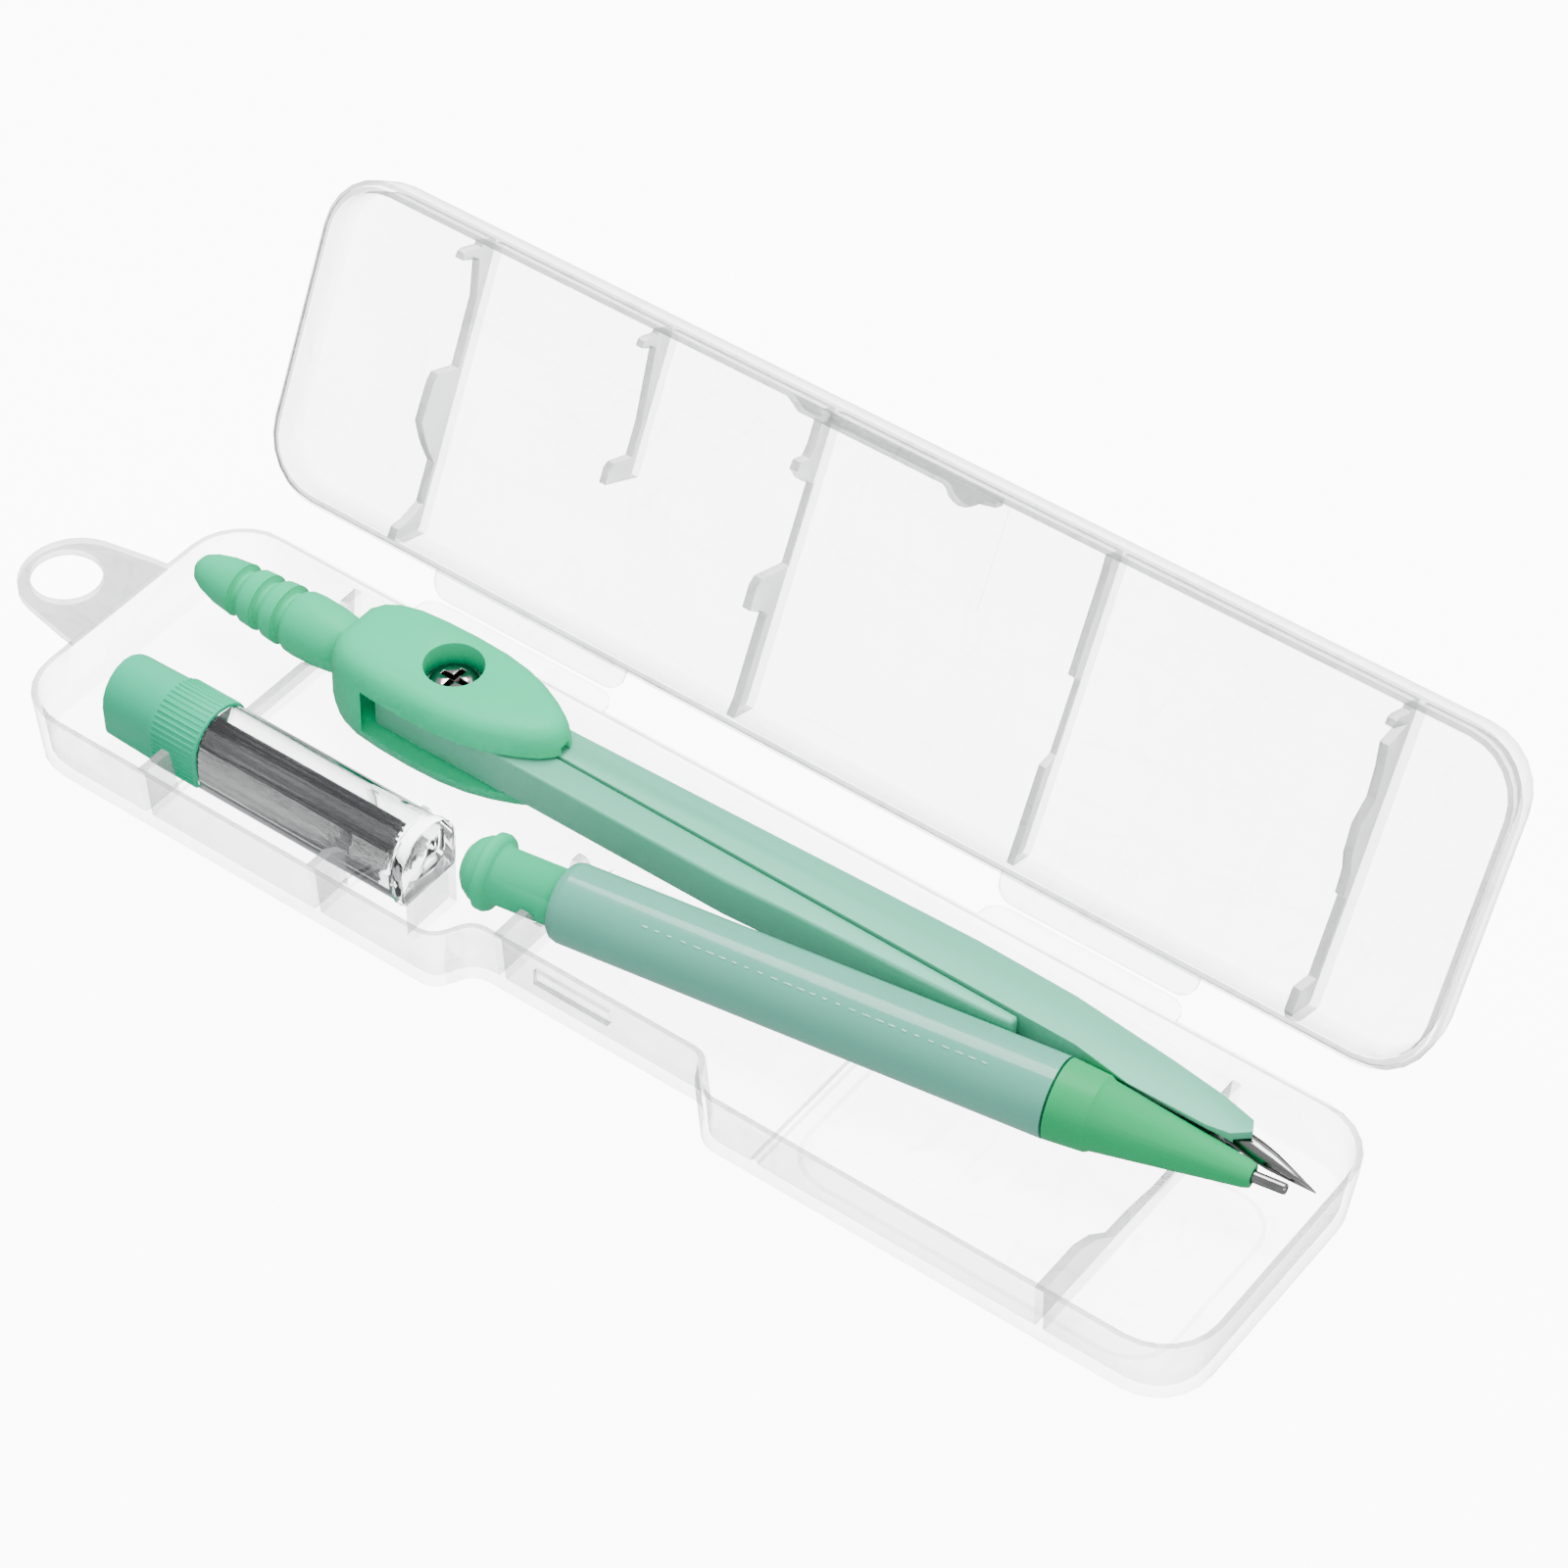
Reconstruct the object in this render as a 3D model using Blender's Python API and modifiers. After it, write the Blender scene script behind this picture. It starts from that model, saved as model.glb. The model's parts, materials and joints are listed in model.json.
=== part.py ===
"""A drafting compass set: a compass with a clutch pencil and a box of leads, in a flat hinged case.

Metres, +Z up. The origin is under the middle of the tray, -X is the hanging tab, -Y the latch side.
All sizes below are in millimetres and are multiplied by MM where a mesh is made.
"""

import math

import bmesh
import bpy
from mathutils import Matrix, Vector

MM = 0.001

# --- driving dimensions (mm) ---
TRAY_HALF_X, TRAY_HALF_Y, TRAY_HEIGHT = 87.5, 21.9, 10.1
CORNER_R, WALL, FLOOR = 8.5, 1.1, 1.0
RECESS_Y, RECESS_X0, RECESS_X1 = -16.8, -15.2, 15.6
RECESS_BLEND = ((4.2, 62.0), 1.93, (2.2, 62.0))
TAB_X, TAB_R, TAB_HOLE_X, TAB_HOLE_R = -94.7, 7.6, -96.2, 4.67
HINGE_Y, HINGE_Z, LID_OPEN = 24.92, 10.11, 114.75
WEBS = ((-57.5, -27.2), (29.5, 57.8))
LID_HALF_X, LID_HALF_Y, LID_Y, LID_DEPTH = 87.3, 22.25, -0.1, 6.43
AXIS_Y, AXIS_Z = 12.6, 8.2
PIVOT_X, PIVOT_Y = -43.5, 12.9
HEAD_Z0, HEAD_Z1, SLOT_Z0, SLOT_Z1 = 1.5, 14.9, 4.6, 11.3
LEG_Z0, LEG_Z1, SHEET = 4.9, 11.0, 1.0
PENCIL_X, PENCIL_Y, PENCIL_Z, PENCIL_YAW = -9.0, -4.7, 7.9, math.radians(8.82)
BARREL_R, STEM_R, CAP_R = 5.15, 3.7, 5.0
NEEDLE_Z = 8.3
BOX_Y, BOX_Z, BOX_HALF, BOX_HEIGHT = -8.9, 2.2, 5.0, 9.7
LEAD_R = 0.36
LEADS = ((-12.2, 3.85), (-10.6, 3.9), (-9.0, 3.85), (-7.4, 3.9), (-5.8, 3.85), (-11.4, 5.2), (-9.8, 5.3), (-8.2, 5.2), (-6.6, 5.3))


# --- scene helpers ---
def clear_scene():
    for obj in list(bpy.data.objects):
        bpy.data.objects.remove(obj, do_unlink=True)


def new_collection(name, hidden=False):
    made = bpy.data.collections.new(name)
    bpy.context.scene.collection.children.link(made)
    made.hide_render = hidden
    return made


clear_scene()
PARTS = new_collection("drafting_compass_set")
CUTTERS = new_collection("cutters", hidden=True)


def place(obj, helper=False):
    """Links an object as a part, or as a hidden helper."""
    (CUTTERS if helper else PARTS).objects.link(obj)
    if helper:
        obj.hide_render = True
        obj.display_type = "WIRE"
    return obj


def material(name, colour, roughness, metallic=0.0):
    found = bpy.data.materials.get(name)
    if found:
        return found
    made = bpy.data.materials.new(name)
    made.use_nodes = True
    shader = made.node_tree.nodes["Principled BSDF"]
    shader.inputs["Base Color"].default_value = (*colour, 1.0)
    shader.inputs["Roughness"].default_value = roughness
    shader.inputs["Metallic"].default_value = metallic
    made.diffuse_color = (*colour, 1.0)
    return made


def case_plastic():
    return material("case_plastic", (0.86, 0.87, 0.88), 0.42)


def mint_plastic():
    return material("mint_plastic", (0.15, 0.70, 0.45), 0.38)


def barrel_plastic():
    return material("barrel_plastic", (0.24, 0.47, 0.37), 0.42)


def cone_plastic():
    return material("cone_plastic", (0.09, 0.55, 0.30), 0.33)


def leg_paint():
    return material("leg_paint", (0.35, 0.62, 0.51), 0.45, 0.1)


def bright_steel():
    return material("bright_steel", (0.62, 0.62, 0.63), 0.22, 1.0)


def dull_steel():
    return material("dull_steel", (0.42, 0.42, 0.43), 0.38, 1.0)


def brass():
    return material("brass", (0.66, 0.48, 0.20), 0.3, 1.0)


def clear_plastic():
    return material("clear_plastic", (0.9, 0.91, 0.92), 0.1)


def cap_plastic():
    return material("cap_plastic", (0.27, 0.68, 0.50), 0.4)


def graphite():
    return material("graphite", (0.09, 0.09, 0.10), 0.42, 0.2)


def finish(obj, made):
    obj.data.materials.clear()
    obj.data.materials.append(made)
    return obj


# --- outline and mesh helpers ---
def walk(x, y, heading, moves):
    """Outline points from straight ('L', length) and arc ('A', radius, degrees, left positive) moves."""
    points, h = [(x, y)], math.radians(heading)
    for move in moves:
        if move[0] == "L":
            x, y = x + move[1] * math.cos(h), y + move[1] * math.sin(h)
            points.append((x, y))
            continue
        radius, turn = move[1], math.radians(move[2])
        steps = max(2, round(abs(move[2]) / (15 if radius > 3 else 22)))
        side = 1 if turn > 0 else -1
        cx, cy = x - side * radius * math.sin(h), y + side * radius * math.cos(h)
        for i in range(1, steps + 1):
            a = h + turn * i / steps
            points.append((cx + side * radius * math.sin(a), cy - side * radius * math.cos(a)))
        h += turn
        x, y = points[-1]
    return points[:-1] if math.dist(points[0], points[-1]) < 1e-3 else points


def arc(cx, cy, r, a0, a1, steps=8):
    angles = [math.radians(a0 + (a1 - a0) * i / steps) for i in range(steps + 1)]
    return [(cx + r * math.cos(a), cy + r * math.sin(a)) for a in angles]


def inset(points, distance):
    """The outline moved inwards (counter-clockwise points)."""
    moved, n = [], len(points)
    for i, (x, y) in enumerate(points):
        before = Vector((x - points[i - 1][0], y - points[i - 1][1])).normalized()
        after = Vector((points[(i + 1) % n][0] - x, points[(i + 1) % n][1] - y)).normalized()
        n1, n2 = Vector((-before.y, before.x)), Vector((-after.y, after.x))
        shift = (n1 + n2) * (distance / (1 + n1.dot(n2)))
        moved.append((x + shift.x, y + shift.y))
    return moved


def mesh_object(name, verts, faces, helper=False):
    mesh = bpy.data.meshes.new(name)
    mesh.from_pydata([Vector(v) * MM for v in verts], [], faces)
    mesh.update()
    return place(bpy.data.objects.new(name, mesh), helper)


def stack(name, rings, helper=False):
    """A closed body through rings of equal length, capped at both ends. Rings run upwards on the outside."""
    verts, faces, n = [], [], len(rings[0])
    for ring in rings:
        verts.extend(ring)
    for k in range(len(rings) - 1):
        for i in range(n):
            j = (i + 1) % n
            faces.append((k * n + i, k * n + j, (k + 1) * n + j, (k + 1) * n + i))
    faces.append(tuple(range(n - 1, -1, -1)))
    faces.append(tuple((len(rings) - 1) * n + i for i in range(n)))
    return mesh_object(name, verts, faces, helper)


def prism(name, points, lo, hi, axis="Z", helper=False):
    """A flat outline as a filled curve, extruded from lo to hi along an axis, then made a mesh."""
    curve = bpy.data.curves.new(name, "CURVE")
    curve.dimensions, curve.fill_mode = "2D", "BOTH"
    spline = curve.splines.new("POLY")
    spline.points.add(len(points) - 1)
    for point, (a, b) in zip(spline.points, points):
        point.co = (a * MM, b * MM, 0, 1)
    spline.use_cyclic_u = True
    curve.extrude = (hi - lo) / 2 * MM
    guide = bpy.data.objects.new(name + "_curve", curve)
    place(guide, helper=True)
    middle = (lo + hi) / 2 * MM
    if axis == "X":
        guide.matrix_world = Matrix.Translation((middle, 0, 0)) @ Matrix(((0, 0, 1, 0), (1, 0, 0, 0), (0, 1, 0, 0), (0, 0, 0, 1)))
    elif axis == "Y":
        guide.matrix_world = Matrix.Translation((0, middle, 0)) @ Matrix(((1, 0, 0, 0), (0, 0, -1, 0), (0, 1, 0, 0), (0, 0, 0, 1)))
    else:
        guide.matrix_world = Matrix.Translation((0, 0, middle))
    bpy.context.view_layer.update()
    graph = bpy.context.evaluated_depsgraph_get()
    mesh = bpy.data.meshes.new_from_object(guide.evaluated_get(graph))
    mesh.transform(guide.matrix_world)
    bpy.data.objects.remove(guide)
    return place(bpy.data.objects.new(name, tidy(mesh)), helper)


def tidy(mesh):
    """Welds the caps to the sides and turns all faces out."""
    bm = bmesh.new()
    bm.from_mesh(mesh)
    bmesh.ops.remove_doubles(bm, verts=bm.verts, dist=1e-6)
    bmesh.ops.recalc_face_normals(bm, faces=bm.faces)
    bm.to_mesh(mesh)
    bm.free()
    return mesh


def box(name, lo, hi, helper=False):
    mesh = bpy.data.meshes.new(name)
    bm = bmesh.new()
    middle = Matrix.Translation([(a + b) / 2 * MM for a, b in zip(lo, hi)])
    size = Matrix.Diagonal([(b - a) * MM for a, b in zip(lo, hi)] + [1])
    bmesh.ops.create_cube(bm, size=1, matrix=middle @ size)
    bm.to_mesh(mesh)
    bm.free()
    return place(bpy.data.objects.new(name, mesh), helper)


def rod(name, radius, start, end, sides=24, helper=False, far_radius=None):
    """A cylinder or cone between two points."""
    a, b = Vector(start) * MM, Vector(end) * MM
    turn = (b - a).to_track_quat("Z", "Y").to_matrix().to_4x4()
    mesh = bpy.data.meshes.new(name)
    bm = bmesh.new()
    far = radius if far_radius is None else far_radius
    spot = Matrix.Translation((a + b) / 2) @ turn
    bmesh.ops.create_cone(bm, cap_ends=True, segments=sides, radius1=radius * MM, radius2=far * MM, depth=(b - a).length, matrix=spot)
    bm.to_mesh(mesh)
    bm.free()
    return place(bpy.data.objects.new(name, mesh), helper)


def turned(name, profile, origin, yaw=0.0, sides=32, helper=False):
    """A turned piece: (x, radius) profile along its axis, spun with the Screw modifier and applied."""
    mesh = bpy.data.meshes.new(name + "_profile")
    points = [(r * MM, 0, x * MM) for x, r in reversed(profile)]
    mesh.from_pydata(points, [(i, i + 1) for i in range(len(points) - 1)], [])
    guide = place(bpy.data.objects.new(name + "_guide", mesh), helper=True)
    screw = guide.modifiers.new("Screw", "SCREW")
    screw.steps = screw.render_steps = sides
    screw.use_merge_vertices, screw.merge_threshold = True, 1e-6
    screw.use_smooth_shade = True
    bpy.context.view_layer.update()
    graph = bpy.context.evaluated_depsgraph_get()
    made = bpy.data.meshes.new_from_object(guide.evaluated_get(graph))
    bpy.data.objects.remove(guide)
    # The spin axis Z becomes the piece's own +X, then it is turned by yaw and moved.
    lay = Matrix(((0, 0, 1, 0), (0, 1, 0, 0), (-1, 0, 0, 0), (0, 0, 0, 1)))
    made.transform(Matrix.Translation(Vector(origin) * MM) @ Matrix.Rotation(yaw, 4, "Z") @ lay)
    return place(bpy.data.objects.new(name, tidy(made)), helper)


def combine(target, others, operation="UNION"):
    """Applies an exact Boolean with each of the others in turn, then removes them."""
    for other in others:
        cut = target.modifiers.new("Boolean", "BOOLEAN")
        cut.operation, cut.solver, cut.object = operation, "EXACT", other
        bpy.context.view_layer.update()
        graph = bpy.context.evaluated_depsgraph_get()
        made = bpy.data.meshes.new_from_object(target.evaluated_get(graph))
        target.modifiers.clear()
        target.data = made
        bpy.data.objects.remove(other, do_unlink=True)
    return target


def cut(target, others):
    return combine(target, others, "DIFFERENCE")


def bevel(obj, width, segments=2, angle=40):
    """A rounded edge on corners sharper than the angle."""
    soften = obj.modifiers.new("Bevel", "BEVEL")
    soften.width, soften.segments = width * MM, segments
    soften.limit_method, soften.angle_limit = "ANGLE", math.radians(angle)
    soften.use_clamp_overlap = True
    return obj


def smooth(obj, angle=35):
    obj.data.shade_smooth()
    obj.data.set_sharp_from_angle(angle=math.radians(angle))
    return obj


def set_origin(obj, point):
    """Moves the object's origin to a joint axis without moving its mesh."""
    shift = Matrix.Translation(Vector(point) * MM)
    obj.data.transform(shift.inverted() @ obj.matrix_world)
    obj.matrix_world = shift
    return obj


# --- the case ---
def tray_outline():
    (r1, a1), mid, (r2, a2) = RECESS_BLEND
    run = (r1 + r2) * math.sin(math.radians(a1)) + mid * math.cos(math.radians(a1))
    side = 2 * (TRAY_HALF_Y - CORNER_R)
    straight = TRAY_HALF_X - CORNER_R
    corner = ("A", CORNER_R, 90)
    moves = [("L", RECESS_X1 - RECESS_X0), ("A", r2, -a2), ("L", mid), ("A", r1, a1)]
    moves += [("L", straight - RECESS_X1 - run), corner, ("L", side), corner, ("L", 2 * straight), corner]
    moves += [("L", side), corner, ("L", straight + RECESS_X0 - run), ("A", r1, a1), ("L", mid), ("A", r2, -a2)]
    return walk(RECESS_X0, RECESS_Y, 0, moves)


def ring(points, distance, z):
    return [(x, y, z) for x, y in inset(points, distance)]


def tray_shell():
    outline = tray_outline()
    outer = ((1.7, 0.0), (1.2, 0.15), (0.95, 0.6), (0.08, 9.9), (0.2, TRAY_HEIGHT))
    inner = ((WALL - 0.15, TRAY_HEIGHT), (WALL, 9.9), (1.85, 1.7), (2.1, 1.2), (2.7, FLOOR))
    return stack("case_tray", [ring(outline, d, z) for d, z in outer + inner])


def front_foot(top):
    """The two wall-side points every full tray rib starts with."""
    return [(-20.3, 0.5), (-21.35, top)]


def tray_rib_a():
    saddle = [(-16.2, 9.3), (-14.9, 1.8), (-3.1, 1.8), (-2.6, 4.4), (9.9, 4.4)]
    cradle = arc(AXIS_Y, AXIS_Z, 4.75, 236, 360, 8)
    return front_foot(9.3) + saddle + cradle + [(17.9, 9.2), (21.35, 9.2), (20.3, 0.5)]


def tray_rib_b():
    return front_foot(9.7) + [(-17.4, 9.7), (-15.2, 8.2), (-14.8, 1.8), (-3.2, 1.8), (-2.6, 2.6), (1.0, 2.6), (1.4, 0.5)]


def tray_stop():
    top = [(-16.2, 8.9), (-15.4, 9.7), (-13.6, 8.6), (-11.2, 8.0), (-9.6, 8.8), (-8.9, 9.7), (-8.2, 8.9)]
    return [(-16.2, 0.5)] + top + [(-8.2, 0.5)]


def tray_rib_d():
    cradle = arc(-5.35, PENCIL_Z, STEM_R + 0.45, 182, 358, 8)
    hump = [(-1.2, 8.3), (-0.6, 9.6), (0.9, 9.6), (2.2, 6.6), (4.2, 2.9), (6.2, 1.9), (9.0, 0.5)]
    return [(-15.0, 0.5), (-16.3, 9.2), (-10.4, 9.2)] + cradle + hump


def tray_rib_e():
    front = [(-13.0, 8.9), (-9.6, 7.4), (-6.0, 4.4), (-1.5, 4.2)]
    bed = [(4.0, 3.2), (17.6, 3.2), (18.0, 6.9)]
    return front_foot(8.9) + front + bed + [(21.15, 6.9), (20.3, 0.5)]


def tray_low_rib():
    return [(-20.3, 0.5), (-20.5, 2.1), (20.4, 2.1), (20.3, 0.5)]


def web_outline(x0, x1, root, crease):
    """A hinge web: square where it leaves the rim, rounded at the crease."""
    r, away = 2.4, (1 if crease > root else -1)
    near = arc(x1 - r, crease - away * r, r, 0, 90 * away, 4)
    far = arc(x0 + r, crease - away * r, r, 90 * away, 180 * away, 4)
    return [(x0, root), (x1, root)] + near + far


def case_tray():
    tray = tray_shell()
    ribs = (
        ("rib_a", tray_rib_a(), -65.6, 1.2), ("rib_b", tray_rib_b(), -38.5, 1.2), ("stop", tray_stop(), -26.9, 1.2),
        ("rib_d", tray_rib_d(), -13.9, 1.2), ("rib_low", tray_low_rib(), 27.5, 1.0), ("rib_e", tray_rib_e(), 67.5, 1.2),
    )
    added = [prism(name, outline, x - t / 2, x + t / 2, "X", True) for name, outline, x, t in ribs]
    tab = [(-86.9, -9.1)] + [(-86.9, 9.1)] + [(-89.6, 8.75)] + arc(TAB_X, 0, TAB_R, 104, 256, 14) + [(-89.6, -8.75)]
    added.append(prism("tab", tab[::-1], 8.95, 9.95, "Z", True))
    added += [prism(f"web_{i}", web_outline(a, b, 21.2, HINGE_Y - 0.08), 9.42, 9.92, "Z", True) for i, (a, b) in enumerate(WEBS)]
    added.append(box("catch_pad", (-7.2, RECESS_Y - 0.45, 6.6), (3.9, RECESS_Y + 0.5, 8.9), True))
    combine(tray, added)
    cut(tray, [rod("tab_hole", TAB_HOLE_R, (TAB_HOLE_X, -0.35, 5), (TAB_HOLE_X, -0.35, 14), 28, True)])
    return finish(smooth(tray), case_plastic())


def lid_outline():
    r = CORNER_R + 0.3
    side, straight = 2 * (LID_HALF_Y - r), 2 * (LID_HALF_X - r)
    corner = ("A", r, 90)
    moves = [("L", straight), corner, ("L", side), corner, ("L", straight), corner, ("L", side), corner]
    return walk(-LID_HALF_X + r, LID_Y - LID_HALF_Y, 0, moves)


def lid_shell():
    """The lid as it lies when closed: open side down, rings listed so that its faces point out."""
    outline = lid_outline()
    inner = ((2.6, 5.4), (2.1, 5.2), (1.9, 4.8), (1.45, 1.4), (1.6, 0.35), (1.5, 0.2))
    outer = ((0.75, 0.2), (0.65, 0.35), (0.62, 0.85), (0.0, 1.0), (0.75, 5.6), (1.15, 6.2), (1.9, LID_DEPTH))
    return stack("case_lid", [ring(outline, d, HINGE_Z + w) for d, w in inner + outer])


def lid_rib(points, tab=None):
    """A lid rib from (v, w): v runs from the hinge axis towards the latch, w up from the rim plane."""
    lower = [(45.7, 0.6)]
    if tab is not None:
        lower = [(45.7, 0.6), (45.2, 0.4), (45.1, -tab + 0.6), (44.8, -tab), (43.9, -tab - 0.1), (43.5, 0.8)]
    return [(HINGE_Y - v, HINGE_Z + w) for v, w in [(45.4, 5.9)] + lower + list(points)]


def lid_ribs():
    """The five lid ribs: each keeps a clear gap over the piece that lies under it when the lid is shut."""
    hook = [(33.0, 2.5), (28.4, 2.5), (28.2, -1.4), (27.4, -2.0), (25.4, -2.0), (25.2, 5.9)]
    first = [(38.0, 2.5), (28.4, 2.6), (28.2, -1.7), (27.0, -2.2), (21.6, -2.4), (19.0, -0.6), (17.3, 0.8), (15.2, 2.85), (9.4, 2.85), (7.4, 0.4), (6.6, -1.4), (5.0, -1.6), (4.3, 0.6), (4.9, 5.9)]
    third = [(41.4, 0.7), (39.8, 0.2), (39.6, -1.7), (38.4, -1.9), (36.8, 0.2), (35.8, 3.3), (24.8, 3.3), (24.2, -2.6), (23.2, -3.3), (20.0, -3.3), (19.2, -0.4), (18.6, 1.35), (6.6, 1.35), (4.3, 0.9), (4.9, 5.9)]
    low = [(43.0, 0.9), (29.8, 1.1), (28.8, 3.35), (18.8, 3.35), (17.6, 1.4), (4.3, 1.4), (4.9, 5.9)]
    last = [(41.6, -2.9), (38.0, -1.5), (34.0, -0.8), (31.0, -2.5), (27.0, -1.8), (24.5, -0.3), (21.2, 0.2), (20.6, 1.3), (9.9, 1.3), (9.3, -2.3), (6.2, -2.4), (5.0, -1.4), (4.3, 0.6), (4.9, 5.9)]
    return (
        ("lid_rib_1", lid_rib(first, 3.0), -64.7, -63.5), ("lid_rib_2", lid_rib(hook, 2.4), -37.0, -36.0),
        ("lid_rib_3", lid_rib(third), -12.4, -11.2), ("lid_rib_4", lid_rib(low), 29.2, 30.2),
        ("lid_rib_5", lid_rib(last, 3.2), 69.8, 71.0),
    )


def latch_outline():
    """The latch flange in plan: pointed at its left end, with a round bulge near its right end."""
    bulge = arc(9.4, -20.6, 2.6, 30, 150, 6)
    return [(-16.8, -20.9), (-14.6, -21.6), (14.2, -21.6), (14.2, -19.9)] + bulge + [(6.6, -19.6), (-14.6, -19.6)]


def case_lid():
    lid = lid_shell()
    added = [prism(name, outline, x0, x1, "X", True) for name, outline, x0, x1 in lid_ribs()]
    webs = ((web_outline(a, b, 21.4, HINGE_Y - 0.08), i) for i, (a, b) in enumerate(WEBS))
    added += [prism(f"lid_web_{i}", outline, 10.3, 10.8, "Z", True) for outline, i in webs]
    added.append(prism("latch", latch_outline(), HINGE_Z + 0.3, HINGE_Z + 1.8, "Z", True))
    panel = (-6.3, HINGE_Y - 43.5, HINGE_Z + LID_DEPTH - 0.4), (13.1, HINGE_Y - 29.5, HINGE_Z + LID_DEPTH + 0.12)
    combine(lid, added + [box("panel", *panel, helper=True)])
    set_origin(lid, (0, HINGE_Y, HINGE_Z))
    lid.matrix_world = lid.matrix_world @ Matrix.Rotation(math.radians(-LID_OPEN), 4, "X")
    return finish(smooth(lid), case_plastic())


# --- the compass ---
def head_outline():
    """Half widths of the yoke in plan against x, mirrored about its middle line."""
    middle = 12.3
    half = ((-59.6, 3.4), (-58.6, 5.2), (-56.8, 6.5), (-54.0, 7.4), (-50.0, 7.8), (-45.0, 7.95), (-40.0, 7.75), (-36.0, 7.1), (-32.5, 6.0), (-29.5, 4.6), (-27.2, 3.2), (-25.9, 1.9))
    far = [(x, middle + w) for x, w in reversed(half)]
    return [(x, middle - w) for x, w in half] + [(-25.4, middle - 0.9), (-25.4, middle + 0.9)] + far


def head_yoke():
    """A pillow-shaped yoke: rings drawn in at the top and bottom, slotted, bored through."""
    outline = head_outline()
    z0, z1, middle = HEAD_Z0, HEAD_Z1, (HEAD_Z0 + HEAD_Z1) / 2
    lower = ((2.6, z0), (1.5, z0 + 0.35), (0.7, z0 + 1.1), (0.2, z0 + 2.6), (0.0, middle - 2.4))
    upper = ((0.0, middle + 2.4), (0.2, z1 - 2.6), (0.7, z1 - 1.1), (1.5, z1 - 0.35), (2.6, z1))
    head = stack("head_yoke", [shrunk(outline, d, z) for d, z in lower + upper])
    back = arc(PIVOT_X, PIVOT_Y, 11.8, 136, 224, 10)
    slot = prism("slot", [(-20, 0), (-20, 25.5), (back[0][0], 25.5)] + back + [(back[-1][0], 0)], SLOT_Z0, SLOT_Z1, "Z", True)
    bore = rod("bore", 3.92, (PIVOT_X, PIVOT_Y, SLOT_Z1 - 1), (PIVOT_X, PIVOT_Y, 20), 28, True)
    shank = rod("shank_hole", 2.05, (PIVOT_X, PIVOT_Y, -2), (PIVOT_X, PIVOT_Y, 6), 20, True)
    nut = rod("nut_pocket", 3.6, (PIVOT_X, PIVOT_Y, -2), (PIVOT_X, PIVOT_Y, 3.9), 6, True)
    notch = box("notch", (-26.1, 11.5, 10.5), (-24.0, 13.1, 12.4), True)
    socket = rod("handle_socket", 1.75, (-70, AXIS_Y, AXIS_Z), (-57.0, AXIS_Y, AXIS_Z), 20, True)
    cut(head, [slot, bore, shank, nut, notch, socket])
    return finish(smooth(head, 30), mint_plastic())


def shrunk(points, distance, z):
    """A ring drawn towards the long middle line, gentler at the pointed ends than a true offset."""
    cx, cy = -43.0, 12.3
    fx, fy = 1 - distance / 17.4, 1 - distance / 8.1
    return [(cx + (x - cx) * fx, cy + (y - cy) * fy, z) for x, y in points]


def handle():
    """The knurled spindle handle: a long egg with three saw-tooth grooves, on a peg into the head."""
    profile = [(-85.6, 0.0), (-85.4, 0.9), (-84.6, 1.9), (-83.2, 2.6), (-80.8, 3.25), (-77.9, 3.6)]
    radii = (3.62, 3.85, 4.1, 4.28)
    for x, r in zip((-77.0, -73.1, -69.4), radii):
        profile += [(x - 0.85, r + 0.02), (x - 0.7, r - 0.9), (x - 0.1, r - 0.95), (x + 0.7, r - 0.1), (x + 1.1, r + 0.12)]
    profile += [(-66.8, 4.35), (-64.0, 4.25), (-61.6, 3.95), (-60.0, 3.6), (-60.0, 1.7), (-57.3, 1.7), (-57.3, 0.0)]
    return finish(smooth(turned("handle", profile, (0, AXIS_Y, AXIS_Z), sides=32), 28), mint_plastic())


def pivot_screw():
    """A cross-recess pan head on a shank that the legs turn on."""
    profile = [(4.0, 0.0), (4.0, 1.75), (11.15, 1.75), (11.15, 3.3), (11.9, 3.3), (12.35, 2.9), (12.6, 2.1), (12.7, 0.0)]
    screw = upright("pivot_screw", profile, 28)
    arms = [box(f"arm_{i}", *spans, helper=True) for i, spans in enumerate(cross_spans())]
    cut(screw, arms)
    return finish(smooth(screw), bright_steel())


def cross_spans():
    x, y = PIVOT_X, PIVOT_Y
    return ((x - 1.9, y - 0.42, 11.6), (x + 1.9, y + 0.42, 13.5)), ((x - 0.42, y - 1.9, 11.6), (x + 0.42, y + 1.9, 13.5))


def upright(name, profile, sides=28):
    """A piece turned about the pivot axis, from (z, radius)."""
    made = turned(name, profile, (0, 0, 0), sides=sides)
    stand = Matrix(((0, 0, -1, 0), (0, 1, 0, 0), (1, 0, 0, 0), (0, 0, 0, 1)))
    made.data.transform(Matrix.Translation((PIVOT_X * MM, PIVOT_Y * MM, 0)) @ stand)
    return made


def pivot_nut():
    nut = rod("pivot_nut", 3.2, (PIVOT_X, PIVOT_Y, 1.7), (PIVOT_X, PIVOT_Y, 3.6), 6)
    return finish(bevel(nut, 0.15, 1, 50), dull_steel())


def leg_channel(name, near, far, hollow, rounding):
    """A sheet channel, open below: an outline less an inner outline, up to the underside of the web."""
    body = bevel(prism(name, near + far[::-1], LEG_Z0, LEG_Z1, "Z"), rounding, 3, 50)
    return cut(body, [prism(name + "_hollow", hollow, LEG_Z0 - 2, LEG_Z1 - SHEET, "Z", True)])


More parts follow.
